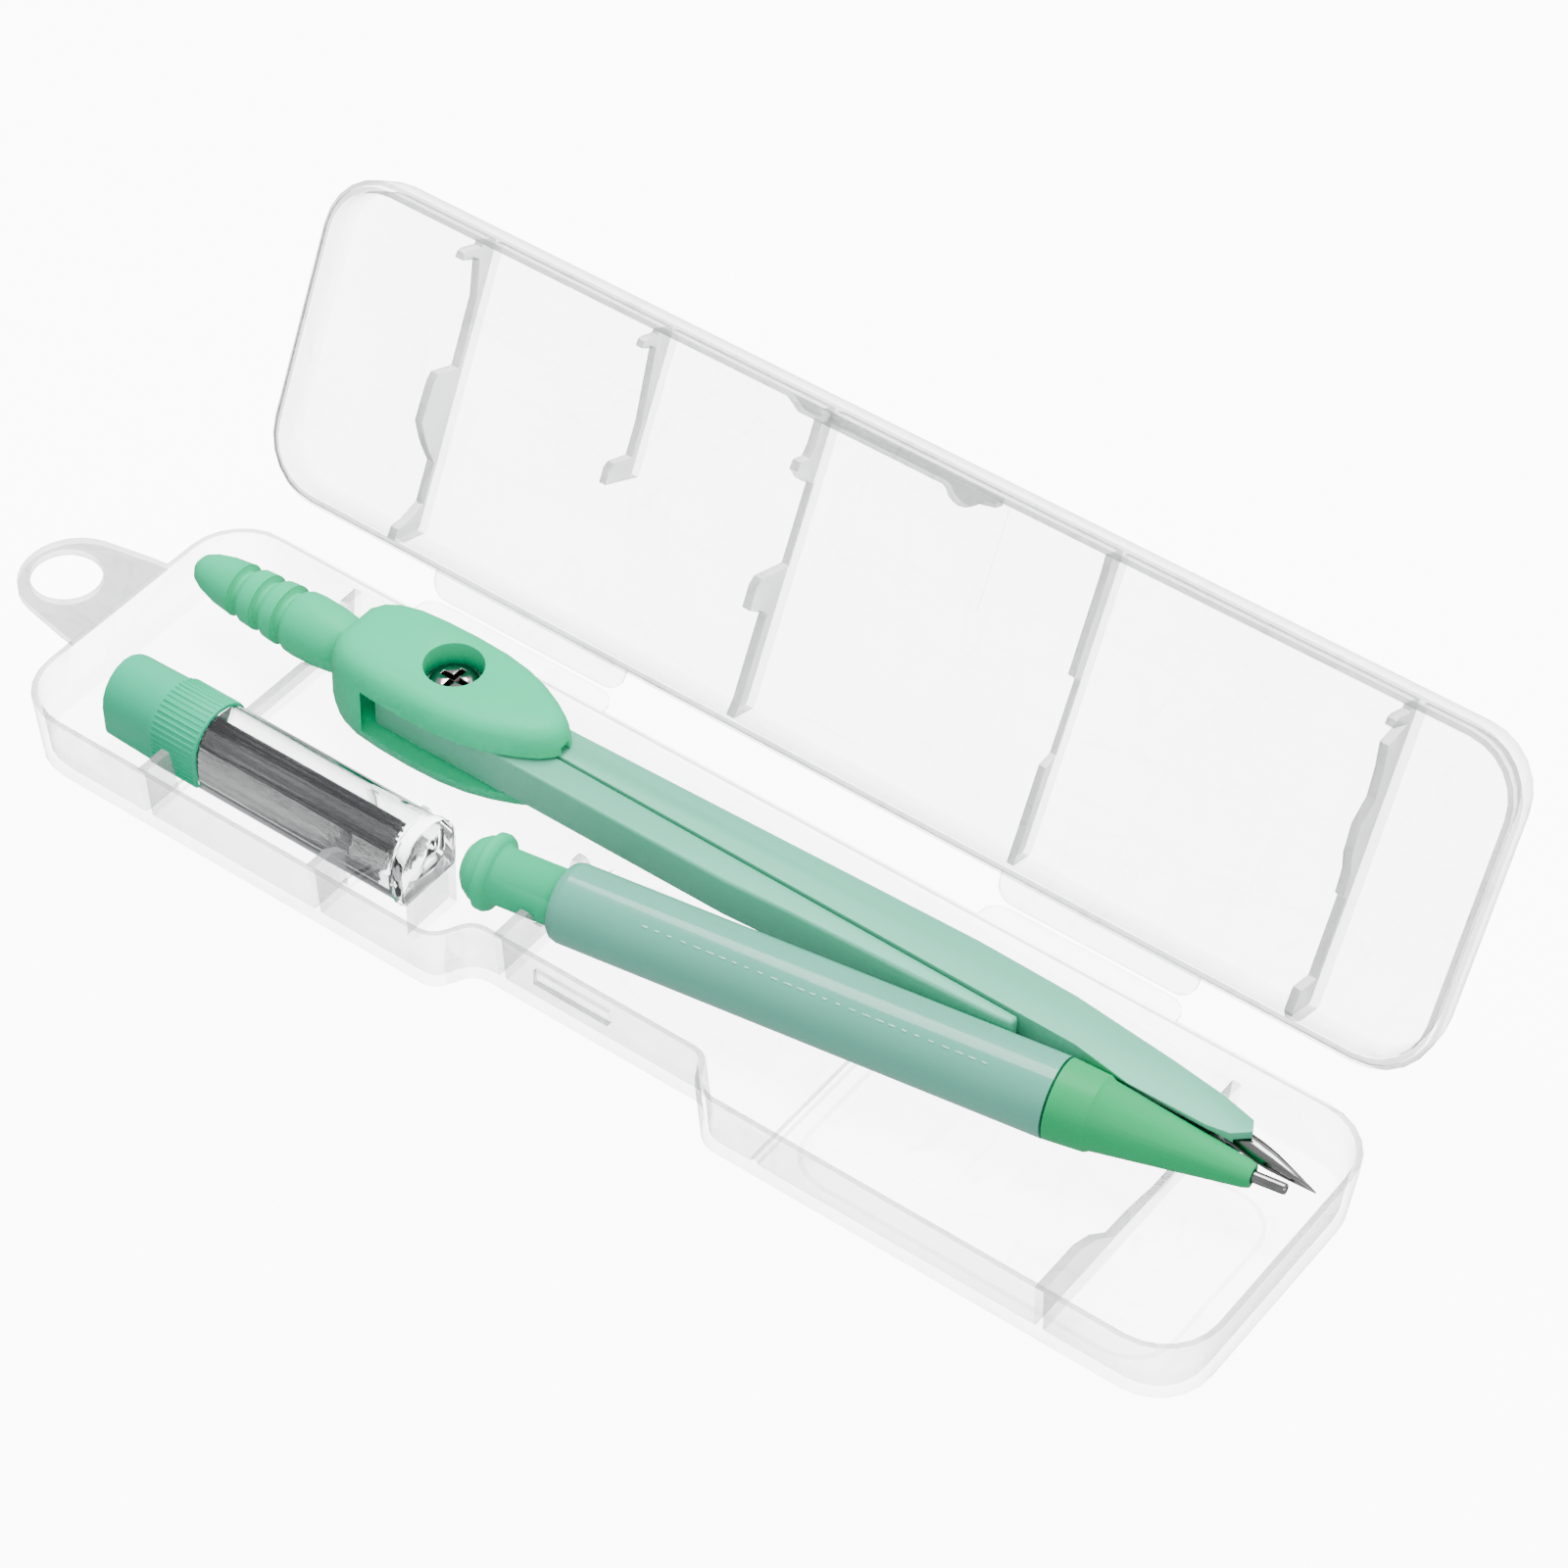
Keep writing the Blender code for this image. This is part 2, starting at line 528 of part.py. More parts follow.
def needle_leg():
    """The needle leg: a tapering channel with its root disc on top of the other leg's."""
    near = [(-31.4, 11.4), (-26.0, 11.4), (14.4, 10.9), (51.0, 10.6), (55.5, 9.9), (59.3, 9.3), (69.8, 9.5), (72.8, 10.1)]
    far = [(-31.4, 15.9), (-26.0, 15.9), (4.6, 16.6), (32.9, 17.4), (47.0, 17.1), (61.8, 15.6), (69.2, 14.6), (73.9, 13.5), (74.8, 11.9)]
    leg = leg_channel("needle_leg", near, far, inset(near + far[::-1], SHEET), 0.8)
    disc = rod("needle_disc", 4.9, (PIVOT_X, PIVOT_Y, 8.3), (PIVOT_X, PIVOT_Y, LEG_Z1), 36, True)
    neck = prism("needle_neck", [(-43.0, 8.3), (-33.5, 11.4), (-30.8, 11.4), (-30.8, 15.9), (-34.0, 15.9), (-43.0, 17.5)], 8.3, LEG_Z1, "Z", True)
    hole = rod("needle_bore", 1.85, (PIVOT_X, PIVOT_Y, 5), (PIVOT_X, PIVOT_Y, 14), 24, True)
    nose = rod("cone_room", 5.5, pencil_axis(62), pencil_axis(87), 36, True, 2.3)
    tip = box("needle_room", (70.0, 10.4, 4.0), (80.0, 16.0, 9.9), True)
    combine(leg, [disc, neck])
    cut(leg, [hole, nose, tip])
    set_origin(leg, (PIVOT_X, PIVOT_Y, 0))
    return finish(smooth(leg), leg_paint())


def needle_strip():
    """The spring strip under the channel that holds the needle."""
    outline = [(40.0, 12.1), (69.0, 11.6), (73.4, 11.6), (73.4, 12.9), (69.0, 13.1), (40.0, 15.7)]
    return finish(prism("needle_strip", outline, 6.2, 6.8, "Z"), dull_steel())


def needle():
    profile = [(0.0, 0.0), (0.0, 1.28), (4.4, 1.3), (6.4, 1.16), (8.8, 0.8), (11.2, 0.38), (12.9, 0.1), (13.0, 0.0)]
    made = turned("needle", profile, (71.6, 12.5, NEEDLE_Z), yaw=math.radians(-8.4), sides=20)
    return finish(smooth(made), bright_steel())


def pencil_leg():
    """The pencil leg: a shorter channel that wraps the barrel, its root disc under the other."""
    near = [(-32.8, 6.7), (3.0, 6.7), (12.0, 7.3), (30.0, 7.9), (41.0, 8.5), (43.4, 8.8)]
    far = [(-32.8, 11.1), (-26.0, 11.1), (14.4, 10.6), (43.4, 10.25)]
    hollow = [(-31.8, 7.9), (3.0, 7.7), (22.0, 8.9), (22.0, 9.5), (-26.0, 10.1), (-31.8, 10.1)]
    return leg_channel("pencil_leg", near, far, hollow, 0.6)


def pencil_axis(t, across=0.0, up=0.0):
    """A point t mm along the pencil from its reference, in world millimetres."""
    c, s = math.cos(PENCIL_YAW), math.sin(PENCIL_YAW)
    return (PENCIL_X + t * c - across * s, PENCIL_Y + t * s + across * c, PENCIL_Z + up)


def along_pencil(name, profile, sides=32):
    return turned(name, profile, pencil_axis(0), yaw=PENCIL_YAW, sides=sides)


def finish_pencil_leg():
    leg = pencil_leg()
    disc = rod("pencil_disc", 6.0, (PIVOT_X, PIVOT_Y, LEG_Z0 + 0.06), (PIVOT_X, PIVOT_Y, 7.96), 36, True)
    neck = prism("pencil_neck", [(-48.0, 6.9), (-31.0, 6.9), (-31.0, 10.1), (-33.9, 10.1), (-38.0, 15.4)], LEG_Z0 + 0.04, 7.98, "Z", True)
    fin = prism("pencil_fin", [(-51.3, 6.76), (-31.3, 6.76), (-31.3, 7.7), (-51.3, 7.7)], LEG_Z0 + 0.02, LEG_Z1 - 0.04, "Z", True)
    room = rod("barrel_room", BARREL_R + 0.3, pencil_axis(-6.0), pencil_axis(58), 40, True)
    hole = rod("pencil_bore", 1.85, (PIVOT_X, PIVOT_Y, 2), (PIVOT_X, PIVOT_Y, 14), 24, True)
    combine(leg, [disc, neck, fin])
    cut(leg, [room, hole])
    set_origin(leg, (PIVOT_X, PIVOT_Y, 0))
    return finish(smooth(leg), leg_paint())


# --- the clutch pencil ---
def pencil_barrel():
    outside = [(-3.2, 3.95), (-3.2, 4.5), (-2.8, 4.9), (-2.0, BARREL_R), (62.4, BARREL_R), (62.4, 4.0), (58.0, 4.0)]
    profile = outside + [(58.0, 2.2), (2.2, 2.2), (2.2, 3.95), (-3.2, 3.95)]
    return finish(smooth(along_pencil("pencil_barrel", profile, 40)), barrel_plastic())


def pencil_cone():
    """The nose cone, spigotted into the barrel, stepped, and bored for the sleeve."""
    outside = [(58.4, 2.3), (58.4, 3.85), (62.7, 3.85), (62.7, 5.1), (67.6, 4.75), (68.2, 4.4), (86.4, 1.72), (87.2, 1.45), (87.2, 0.95)]
    inside = [(81.0, 0.95), (78.0, 2.3)]
    return finish(smooth(along_pencil("pencil_cone", outside + inside + [outside[0]], 36), 25), cone_plastic())


def pencil_sleeve():
    profile = [(81.3, 0.42), (81.3, 0.8), (91.1, 0.72), (91.4, 0.6), (91.4, 0.42), (81.3, 0.42)]
    return finish(smooth(along_pencil("pencil_sleeve", profile, 16)), bright_steel())


def push_button():
    """The button cap and its stem, which slides in the barrel's back end."""
    cap = [(-16.8, 0.0), (-16.65, 1.3), (-16.2, 2.5), (-15.4, 3.5), (-14.4, 4.15), (-13.7, 4.35), (-13.5, 4.5), (-13.3, 4.95), (-12.5, CAP_R), (-12.0, 4.75), (-11.8, 4.3)]
    stem = [(-11.6, STEM_R), (-1.0, STEM_R), (-1.0, 1.9), (3.5, 1.9), (3.5, 1.3), (-8.0, 1.3), (-8.0, 0.0)]
    return finish(smooth(along_pencil("push_button", cap + stem, 36), 30), barrel_plastic())


def lead_tube():
    profile = [(-7.6, 0.55), (-7.6, 1.1), (52.0, 1.1), (52.0, 0.55), (-7.6, 0.55)]
    return finish(smooth(along_pencil("lead_tube", profile, 16)), dull_steel())


def clutch_jaws():
    profile = [(66.4, 0.5), (66.4, 1.15), (72.0, 1.15), (73.6, 1.75), (75.0, 1.9), (75.0, 0.5), (66.4, 0.5)]
    return finish(smooth(along_pencil("clutch_jaws", profile, 20)), brass())


def clutch_coupler():
    profile = [(52.3, 0.55), (52.3, 1.6), (58.6, 1.6), (66.1, 1.6), (66.1, 0.55), (52.3, 0.55)]
    return finish(smooth(along_pencil("clutch_coupler", profile, 20)), brass())


def clutch_ring():
    profile = [(69.0, 1.4), (69.0, 2.0), (71.6, 2.0), (71.6, 1.4), (69.0, 1.4)]
    return finish(smooth(along_pencil("clutch_ring", profile, 20)), bright_steel())


def pencil_lead():
    return finish(smooth(rod("pencil_lead", 0.35, pencil_axis(12.0), pencil_axis(91.3), 10)), graphite())


def return_spring():
    """The clutch spring round the lead tube: a poly coil as a bevelled curve, made a mesh."""
    curve = bpy.data.curves.new("return_spring", "CURVE")
    curve.dimensions, curve.bevel_depth, curve.bevel_resolution, curve.use_fill_caps = "3D", 0.2 * MM, 1, True
    turns, per_turn, x0, x1 = 9, 12, 38.0, 51.0
    spline = curve.splines.new("POLY")
    spline.points.add(turns * per_turn)
    for i, point in enumerate(spline.points):
        a = 2 * math.pi * i / per_turn
        t = x0 + (x1 - x0) * i / (turns * per_turn)
        point.co = (*(v * MM for v in pencil_axis(t, 1.72 * math.cos(a), 1.72 * math.sin(a))), 1)
    guide = place(bpy.data.objects.new("return_spring_curve", curve), helper=True)
    bpy.context.view_layer.update()
    made = bpy.data.meshes.new_from_object(guide.evaluated_get(bpy.context.evaluated_depsgraph_get()))
    bpy.data.objects.remove(guide)
    spring = place(bpy.data.objects.new("return_spring", tidy(made)))
    return finish(smooth(spring), bright_steel())


# --- the lead box ---
def tombstone(half, height, base, steps=10):
    """The lead box's section (y, z): flat below, arched above."""
    shoulder = height * 0.46
    top = [(half * math.cos(math.pi * i / steps), shoulder + (height - shoulder) * math.sin(math.pi * i / steps)) for i in range(steps + 1)]
    bottom = [(-half + 0.15, 0.4), (-half + 0.6, 0.0), (half - 0.6, 0.0), (half - 0.15, 0.4)]
    return [(BOX_Y + y, base + z) for y, z in bottom + top]


def tube_ring(x, half, height, base):
    return [(x, y, z) for y, z in tombstone(half, height, base)]


def lead_box_tube():
    """A clear tube with a flanged closed end and a thin neck that the cap's skirt slides over."""
    h, w, b = BOX_HEIGHT, BOX_HALF, BOX_Z
    outside = [(-29.9, 5.1, h + 0.1, b), (-30.1, 5.25, h + 0.2, b), (-31.3, 5.25, h + 0.2, b), (-31.6, w, h, b), (-62.8, w, h, b), (-62.8, 4.45, h - 1.1, b + 0.55), (-69.2, 4.45, h - 1.1, b + 0.55)]
    inside = [(-69.2, 3.95, h - 2.0, b + 1.0), (-32.4, 3.95, h - 2.0, b + 1.0)]
    tube = stack("lead_box_tube", [tube_ring(*r)[::-1] for r in outside + inside])
    mark = rod("gate_mark", 1.5, (-30.2, BOX_Y, BOX_Z + 2.9), (-29.75, BOX_Y, BOX_Z + 2.9), 20, True)
    combine(tube, [mark])
    return finish(smooth(tube, 30), clear_plastic())


def lead_box_cap():
    """The cap: a plain end, then a wider collar whose hollow skirt slides over the tube's neck."""
    h, b = BOX_HEIGHT, BOX_Z
    rows = [(-78.9, 3.9, h - 1.4, b + 0.7), (-78.7, 4.5, h - 0.6, b + 0.3), (-78.2, 4.75, h - 0.3, b + 0.15), (-70.9, 4.9, h, b), (-70.5, 5.2, h + 0.15, b)]
    rows += [(-63.1, 5.25, h + 0.2, b), (-63.1, 4.6, h - 0.8, b + 0.4), (-69.6, 4.6, h - 0.8, b + 0.4)]
    cap = stack("lead_box_cap", [tube_ring(*r) for r in rows])
    return finish(smooth(cap, 30), cap_plastic())


def spare_leads():
    for i, (y, z) in enumerate(LEADS):
        finish(smooth(rod(f"spare_lead_{i + 1:02d}", LEAD_R, (-68.6, y, z), (-33.4 - 0.5 * (i % 3), y, z), 8)), graphite())


def build():
    case_tray()
    case_lid()
    head_yoke()
    handle()
    pivot_screw()
    pivot_nut()
    needle_leg()
    needle_strip()
    needle()
    finish_pencil_leg()
    pencil_barrel()
    pencil_cone()
    pencil_sleeve()
    push_button()
    lead_tube()
    clutch_jaws()
    clutch_coupler()
    clutch_ring()
    pencil_lead()
    return_spring()
    lead_box_tube()
    lead_box_cap()
    spare_leads()


build()
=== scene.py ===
"""Looks of a drafting compass set: compass, clutch pencil and lead box in a flat hinged case."""

import json
import logging
import math
from dataclasses import dataclass
from enum import Enum
from typing import Any, Callable, Iterable

import bmesh
import bpy
from mathutils import Matrix, Vector

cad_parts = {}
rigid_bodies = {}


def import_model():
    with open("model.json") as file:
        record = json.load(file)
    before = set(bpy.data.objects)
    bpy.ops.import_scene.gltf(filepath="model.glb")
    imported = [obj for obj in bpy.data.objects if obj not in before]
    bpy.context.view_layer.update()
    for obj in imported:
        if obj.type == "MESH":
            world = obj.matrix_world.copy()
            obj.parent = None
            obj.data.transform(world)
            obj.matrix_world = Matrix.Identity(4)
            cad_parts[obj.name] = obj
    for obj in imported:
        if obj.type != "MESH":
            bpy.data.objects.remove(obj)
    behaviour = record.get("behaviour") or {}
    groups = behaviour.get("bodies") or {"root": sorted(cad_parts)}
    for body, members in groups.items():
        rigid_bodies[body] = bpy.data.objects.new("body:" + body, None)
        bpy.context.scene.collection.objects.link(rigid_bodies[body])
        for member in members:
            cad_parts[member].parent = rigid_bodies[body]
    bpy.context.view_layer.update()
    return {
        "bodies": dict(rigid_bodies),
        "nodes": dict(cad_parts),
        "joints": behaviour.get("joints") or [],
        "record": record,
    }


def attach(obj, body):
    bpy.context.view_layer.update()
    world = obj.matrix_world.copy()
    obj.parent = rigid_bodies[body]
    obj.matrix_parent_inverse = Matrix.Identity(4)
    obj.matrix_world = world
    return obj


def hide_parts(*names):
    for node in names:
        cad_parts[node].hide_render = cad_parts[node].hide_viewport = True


LOG = logging.getLogger("compass_set")
MM = 0.001
WELD = 2e-7
FLAT_DEGREES = 0.6

Colour = tuple[float, float, float]
Point = tuple[float, float, float]

ACROSS: Point = (1.0, 0.0, 0.0)
EVEN: Point = (1.0, 1.0, 1.0)


# --------------------------------------------------------------------------- shader maths
class Wire:
    """A shader socket that numbers and other sockets can be added to, scaled by and so on."""

    def __init__(self, tree: bpy.types.NodeTree, socket: bpy.types.NodeSocket) -> None:
        """Wraps a socket of a tree."""
        self.tree, self.socket = tree, socket

    def _math(self, operation: str, first: Any, second: Any, clamp: bool = False) -> "Wire":
        """One Math node on two values.

        Args:
            operation: the Math node's operation.
            first: the first value or wire.
            second: the second value or wire, or None where the operation takes one.
            clamp: whether the result is held between 0 and 1.

        Returns:
            The node's result.
        """
        node = self.tree.nodes.new("ShaderNodeMath")
        node.operation, node.use_clamp = operation, clamp
        for slot, value in enumerate((first, second)):
            if isinstance(value, Wire):
                self.tree.links.new(value.socket, node.inputs[slot])
            elif value is not None:
                node.inputs[slot].default_value = value
        return Wire(self.tree, node.outputs[0])

    def __add__(self, other: Any) -> "Wire":
        """Sum."""
        return self._math("ADD", self, other)

    def __radd__(self, other: Any) -> "Wire":
        """Sum, number first."""
        return self._math("ADD", other, self)

    def __sub__(self, other: Any) -> "Wire":
        """Difference."""
        return self._math("SUBTRACT", self, other)

    def __rsub__(self, other: Any) -> "Wire":
        """Difference, number first."""
        return self._math("SUBTRACT", other, self)

    def __mul__(self, other: Any) -> "Wire":
        """Product."""
        return self._math("MULTIPLY", self, other)

    def __rmul__(self, other: Any) -> "Wire":
        """Product, number first."""
        return self._math("MULTIPLY", other, self)

    def __truediv__(self, other: Any) -> "Wire":
        """Quotient."""
        return self._math("DIVIDE", self, other)

    def __pow__(self, other: Any) -> "Wire":
        """Power."""
        return self._math("POWER", self, other)

    def above(self, level: Any) -> "Wire":
        """1 where the value is over the level, else 0."""
        return self._math("GREATER_THAN", self, level)

    def below(self, level: Any) -> "Wire":
        """1 where the value is under the level, else 0."""
        return self._math("LESS_THAN", self, level)

    def held(self) -> "Wire":
        """The value kept between 0 and 1."""
        return self._math("ADD", self, 0.0, clamp=True)

    def size(self) -> "Wire":
        """The value without its sign."""
        return self._math("ABSOLUTE", self, None)


class Shader:
    """One procedural material and the few node moves that its finish needs."""

    def __init__(self, name: str) -> None:
        """Makes a material whose Principled shader waits for its inputs."""
        self.material = bpy.data.materials.new(name)
        self.material.use_nodes = True
        self.tree = self.material.node_tree
        self.surface = self.tree.nodes["Principled BSDF"]
        coordinates = self.node("ShaderNodeTexCoord")
        self.place, self.turn = coordinates.outputs["Object"], coordinates.outputs["Normal"]

    def node(self, kind: str, settings: dict[str, Any] | None = None, **inputs: Any) -> bpy.types.Node:
        """Any node, its settings first and then its inputs.

        Args:
            kind: the node's type.
            settings: attributes set on the node.
            inputs: values or wires by socket name, with _ for a space.

        Returns:
            The new node.
        """
        made = self.tree.nodes.new(kind)
        for key, value in (settings or {}).items():
            setattr(made, key, value)
        for key, value in inputs.items():
            self.feed(made.inputs[key.replace("_", " ")], value)
        return made

    def feed(self, socket: bpy.types.NodeSocket, value: Any) -> None:
        """Links a wire or a socket to a socket, or sets its number, vector or colour.

        Args:
            socket: the socket that is fed.
            value: the wire, socket, number, vector or colour.
        """
        if isinstance(value, Wire):
            value = value.socket
        if isinstance(value, bpy.types.NodeSocket):
            self.tree.links.new(value, socket)
        elif isinstance(value, tuple) and socket.type == "RGBA":
            socket.default_value = (*value, 1.0)
        else:
            socket.default_value = value

    def wire(self, socket: bpy.types.NodeSocket) -> Wire:
        """A socket of this tree as a wire."""
        return Wire(self.tree, socket)

    def noise(self, scale: float, detail: float = 3.0, stretch: Point = EVEN) -> Wire:
        """Noise over the object, 0 to 1.

        Args:
            scale: cells per metre.
            detail: octaves.
            stretch: scale along each axis, for drawn or brushed grain.

        Returns:
            The noise value.
        """
        mapped = self.node("ShaderNodeMapping", None, Vector=self.place, Scale=stretch).outputs[0]
        made = self.node("ShaderNodeTexNoise", None, Vector=mapped, Scale=scale, Detail=detail)
        return self.wire(made.outputs[0])

    def scratches(self, scale: float, width: float, stretch: Point = EVEN) -> Wire:
        """Thin wandering lines, 1 on a line and 0 beside it.

        Args:
            scale: cells per metre.
            width: half the line's width, as a share of the noise.
            stretch: scale along each axis, which draws the lines out.

        Returns:
            The lines' mask.
        """
        return 1.0 - ((self.noise(scale, 1.5, stretch) - 0.5).size() / width).held()

    def axis(self, name: str) -> Wire:
        """The object coordinate X, Y or Z, in metres."""
        return self.wire(self.node("ShaderNodeSeparateXYZ", None, Vector=self.place).outputs[name])

    def along(self, direction: Point, origin: Point = (0.0, 0.0, 0.0)) -> Wire:
        """How far a surface point lies from an origin along a direction.

        Args:
            direction: a unit vector of the object.
            origin: the point that is measured from, in metres.

        Returns:
            The distance in metres, negative behind the origin.
        """
        moved = self.node("ShaderNodeVectorMath", {"operation": "SUBTRACT"})
        self.feed(moved.inputs[0], self.place)
        self.feed(moved.inputs[1], origin)
        return self._dot(moved.outputs[0], direction)

    def facing(self, direction: Point) -> Wire:
        """How squarely the surface faces a direction: 1 along it, 0 across, -1 against."""
        return self._dot(self.turn, direction)

    def _dot(self, vector: bpy.types.NodeSocket, direction: Point) -> Wire:
        """A vector's share along a direction.

        Args:
            vector: the vector's socket.
            direction: a unit vector.

        Returns:
            The dot product.
        """
        made = self.node("ShaderNodeVectorMath", {"operation": "DOT_PRODUCT"})
        self.feed(made.inputs[0], vector)
        self.feed(made.inputs[1], direction)
        return self.wire(made.outputs["Value"])

    def edge(self, power: float) -> Wire:
        """Near 1 where the surface is seen edge on, 0 where it's seen squarely."""
        facing = self.node("ShaderNodeLayerWeight", None, Blend=0.5).outputs["Facing"]
        return self.wire(facing) ** power

    def mix(self, factor: Wire, first: Colour, second: Colour) -> bpy.types.NodeSocket:
        """Two colours mixed.

        Args:
            factor: the second colour's share, 0 to 1.
            first: the colour at 0.
            second: the colour at 1.

        Returns:
            The mixed colour's socket.
        """
        made = self.node("ShaderNodeMix", {"data_type": "RGBA"})
        self.feed(made.inputs[0], factor)
        self.feed(made.inputs[6], first)
        self.feed(made.inputs[7], second)
        return made.outputs[2]

    def bump(self, height: Wire, strength: float, distance: float) -> None:
        """Puts a height through a Bump node into the surface's normal.

        Args:
            height: the height, 0 to 1.
            strength: how strongly it shows.
            distance: the depth of the height in metres.
        """
        made = self.node("ShaderNodeBump", None, Strength=strength, Distance=distance, Height=height)
        self.feed(self.surface.inputs["Normal"], made.outputs[0])

    def set(self, **values: Any) -> None:
        """Sets or links inputs of the surface shader by name, with _ for a space."""
        for key, value in values.items():
            self.feed(self.surface.inputs[key.replace("_", " ")], value)


# --------------------------------------------------------------------------- finishes
@dataclass(frozen=True)
class Moulded:
    """Injection-moulded coloured plastic: soft sheen, faint flow marks and handling scuffs.

    Attributes:
        name: the material's name.
        slot: its material slot in the record; not used.
        colour: the plastic where the flow marks are thin.
        deep: the plastic where they are thick.
        roughness: the roughness of clean plastic.
        grain: how strongly the skin's fine grain shows.
        gloss: the strength of the surface's own reflection.
        coat: the strength of a polished outer skin.
        subsurface: how far light gets under the skin.
    """

    name: str
    slot: str
    colour: Colour
    deep: Colour
    roughness: float
    grain: float
    gloss: float
    coat: float = 0.0
    subsurface: float = 0.0

    def build(self) -> bpy.types.Material:
        """Returns the material of this plastic."""
        s = Shader(self.name)
        flow = s.noise(60.0, 2.0)
        fine = s.noise(2600.0, 2.0)
        scuff = s.noise(900.0, 4.0, (0.25, 1.0, 1.0))
        s.set(Base_Color=s.mix((flow * 0.7 + fine * 0.15).held(), self.colour, self.deep))
        s.set(Roughness=(self.roughness - 0.05 + scuff * 0.14 + fine * 0.05).held(), Metallic=0.0)
        s.set(Specular_IOR_Level=self.gloss, IOR=1.5, Coat_Weight=self.coat, Coat_Roughness=0.08)
        if self.subsurface:
            s.set(Subsurface_Weight=self.subsurface, Subsurface_Radius=(0.4, 1.0, 0.6))
            s.set(Subsurface_Scale=0.0012)
        s.bump(fine + flow * 0.5, self.grain, 0.00006)
        return s.material


@dataclass(frozen=True)
class Frosted:
    """Thin frosted polypropylene: nearly clear where it's flat, grey along rims, ribs and bends, with
    painted shade in dark grey on its rims and edge-on outline.

    Attributes:
        name: the material's name.
        slot: its material slot in the record; not used.
        colour: the film where it is thin.
        rim: the painted shade on rims and the edge-on outline, also laid lightly on steep walls and along
            scratches.
        alpha: how much of what's behind the flat film it hides.
        up: the way that the shell opens.
        level: the height along up, in metres, over which a flat face is the rim.
        inward: the way from the hinge into the shell.
        web: the distance along inward, in metres, under which the film is the hinge's web.
        origin: the point that level and web are measured from.
        rib_reach: the half length, in metres, between the shell's end walls.
    """

    name: str
    slot: str
    colour: Colour
    rim: Colour
    alpha: float
    up: Point
    level: float
    inward: Point
    web: float
    origin: Point = (0.0, 0.0, 0.0)
    rib_reach: float = 0.078

    def build(self) -> bpy.types.Material:
        """Returns the material of this film."""
        s = Shader(self.name)
        edge = s.edge(2.2)
        cloud = s.noise(45.0, 3.0)
        grain = s.noise(3400.0, 2.0)
        lengthwise = s.scratches(150.0, 0.012, (0.2, 1.0, 1.0))
        crosswise = s.scratches(170.0, 0.012, (1.0, 0.22, 0.22))
        lines = lengthwise * 0.45 + crosswise * 0.45
        shell = s.along(self.inward, self.origin).above(self.web)
        # painted shade: the upward faces of the rim, away from the hinge's web, are greyed
        rim = s.facing(self.up).above(0.7) * s.along(self.up, self.origin).above(self.level) * shell
        steep = s.facing(self.up).size().below(0.3)
        ribs = s.facing(ACROSS).size().above(0.8) * s.axis("X").size().below(self.rib_reach)
        # painted shade on rims and the edge-on outline, steep walls a little greyer, and real scratches, all
        # mixed towards rim
        grey = rim * 0.8 + edge * 0.8 + steep * 0.15 + lines * 0.6
        cover = self.alpha + edge * 0.42 + rim * 0.5 + steep * 0.06 + ribs * 0.12 + lines * 0.1
        s.set(Base_Color=s.mix(grey.held(), self.colour, self.rim))
        s.set(Roughness=(0.3 + cloud * 0.16 - lines * 0.1).held(), Metallic=0.0)
        s.set(IOR=1.49, Specular_IOR_Level=0.45)
        s.set(Alpha=(cover + (cloud - 0.5) * 0.06).held())
        s.bump(grain + cloud + lines * 0.4, 0.08, 0.00008)
        s.material.surface_render_method = "DITHERED"
        return s.material


@dataclass(frozen=True)
class Clear:
    """Clear polystyrene: see-through, sharply glossy, with a painted dark reflection along its outline and a
    little grey at its ends.

    Attributes:
        name: the material's name.
        slot: its material slot in the record; not used.
        colour: the tint where it's seen squarely.
        rim: the colour of the painted dark reflection along its outline, also used on its ends and
            scratches.
    """

    name: str
    slot: str
    colour: Colour
    rim: Colour

    def build(self) -> bpy.types.Material:
        """Returns the material of this clear plastic."""
        s = Shader(self.name)
        edge = s.edge(3.0)
        cloud = s.noise(120.0, 2.0)
        lines = s.scratches(260.0, 0.006)
        ends = s.facing(ACROSS).size().above(0.7)
        # painted dark reflection along the outline; the end faces and scratches a little greyer
        s.set(Base_Color=s.mix((edge * 1.6 + ends * 0.1 + lines * 0.15).held(), self.colour, self.rim))
        s.set(Roughness=(0.01 + cloud * 0.03 + lines * 0.1).held(), IOR=1.52)
        s.set(Transmission_Weight=1.0)
        s.bump(cloud, 0.03, 0.00005)
        return s.material


@dataclass(frozen=True)
class Metal:
    """Bare or plated metal with drawn grain, small blotches, a painted dark reflection along its outline and
    painted shade in recesses.

    Attributes:
        name: the material's name.
        slot: its material slot in the record; not used.
        colour: the clean metal.
        dark: the metal in its grain and blotches, and the colour of the painted outline reflection and
            recess shade.
        roughness: the roughness of clean metal.
        stretch: the grain's scale along each axis.
        grain: how strongly the grain shows.
        recess: the height in metres under which a recess gets painted shade, or 0 for none.
    """

    name: str
    slot: str
    colour: Colour
    dark: Colour
    roughness: float
    stretch: Point = (0.06, 1.0, 1.0)
    grain: float = 0.15
    recess: float = 0.0

    def build(self) -> bpy.types.Material:
        """Returns the material of this metal."""
        s = Shader(self.name)
        drawn = s.noise(2400.0, 4.0, self.stretch)
        blotch = s.noise(180.0, 3.0)
        # the grain and blotches are the metal's own; the outline term is a painted dark reflection
        grain_and_painted_dark = drawn * 0.6 + blotch * 0.35 + s.edge(2.5) * 1.2
        # painted shade: below the recess height the metal is darkened
        if self.recess:
            grain_and_painted_dark = grain_and_painted_dark + s.axis("Z").below(self.recess)
        s.set(Base_Color=s.mix(grain_and_painted_dark.held(), self.colour, self.dark), Metallic=1.0)
        s.set(Roughness=(self.roughness + (drawn - 0.5) * 0.22 + (blotch - 0.5) * 0.1).held())
        s.bump(drawn, self.grain, 0.00003)
        return s.material


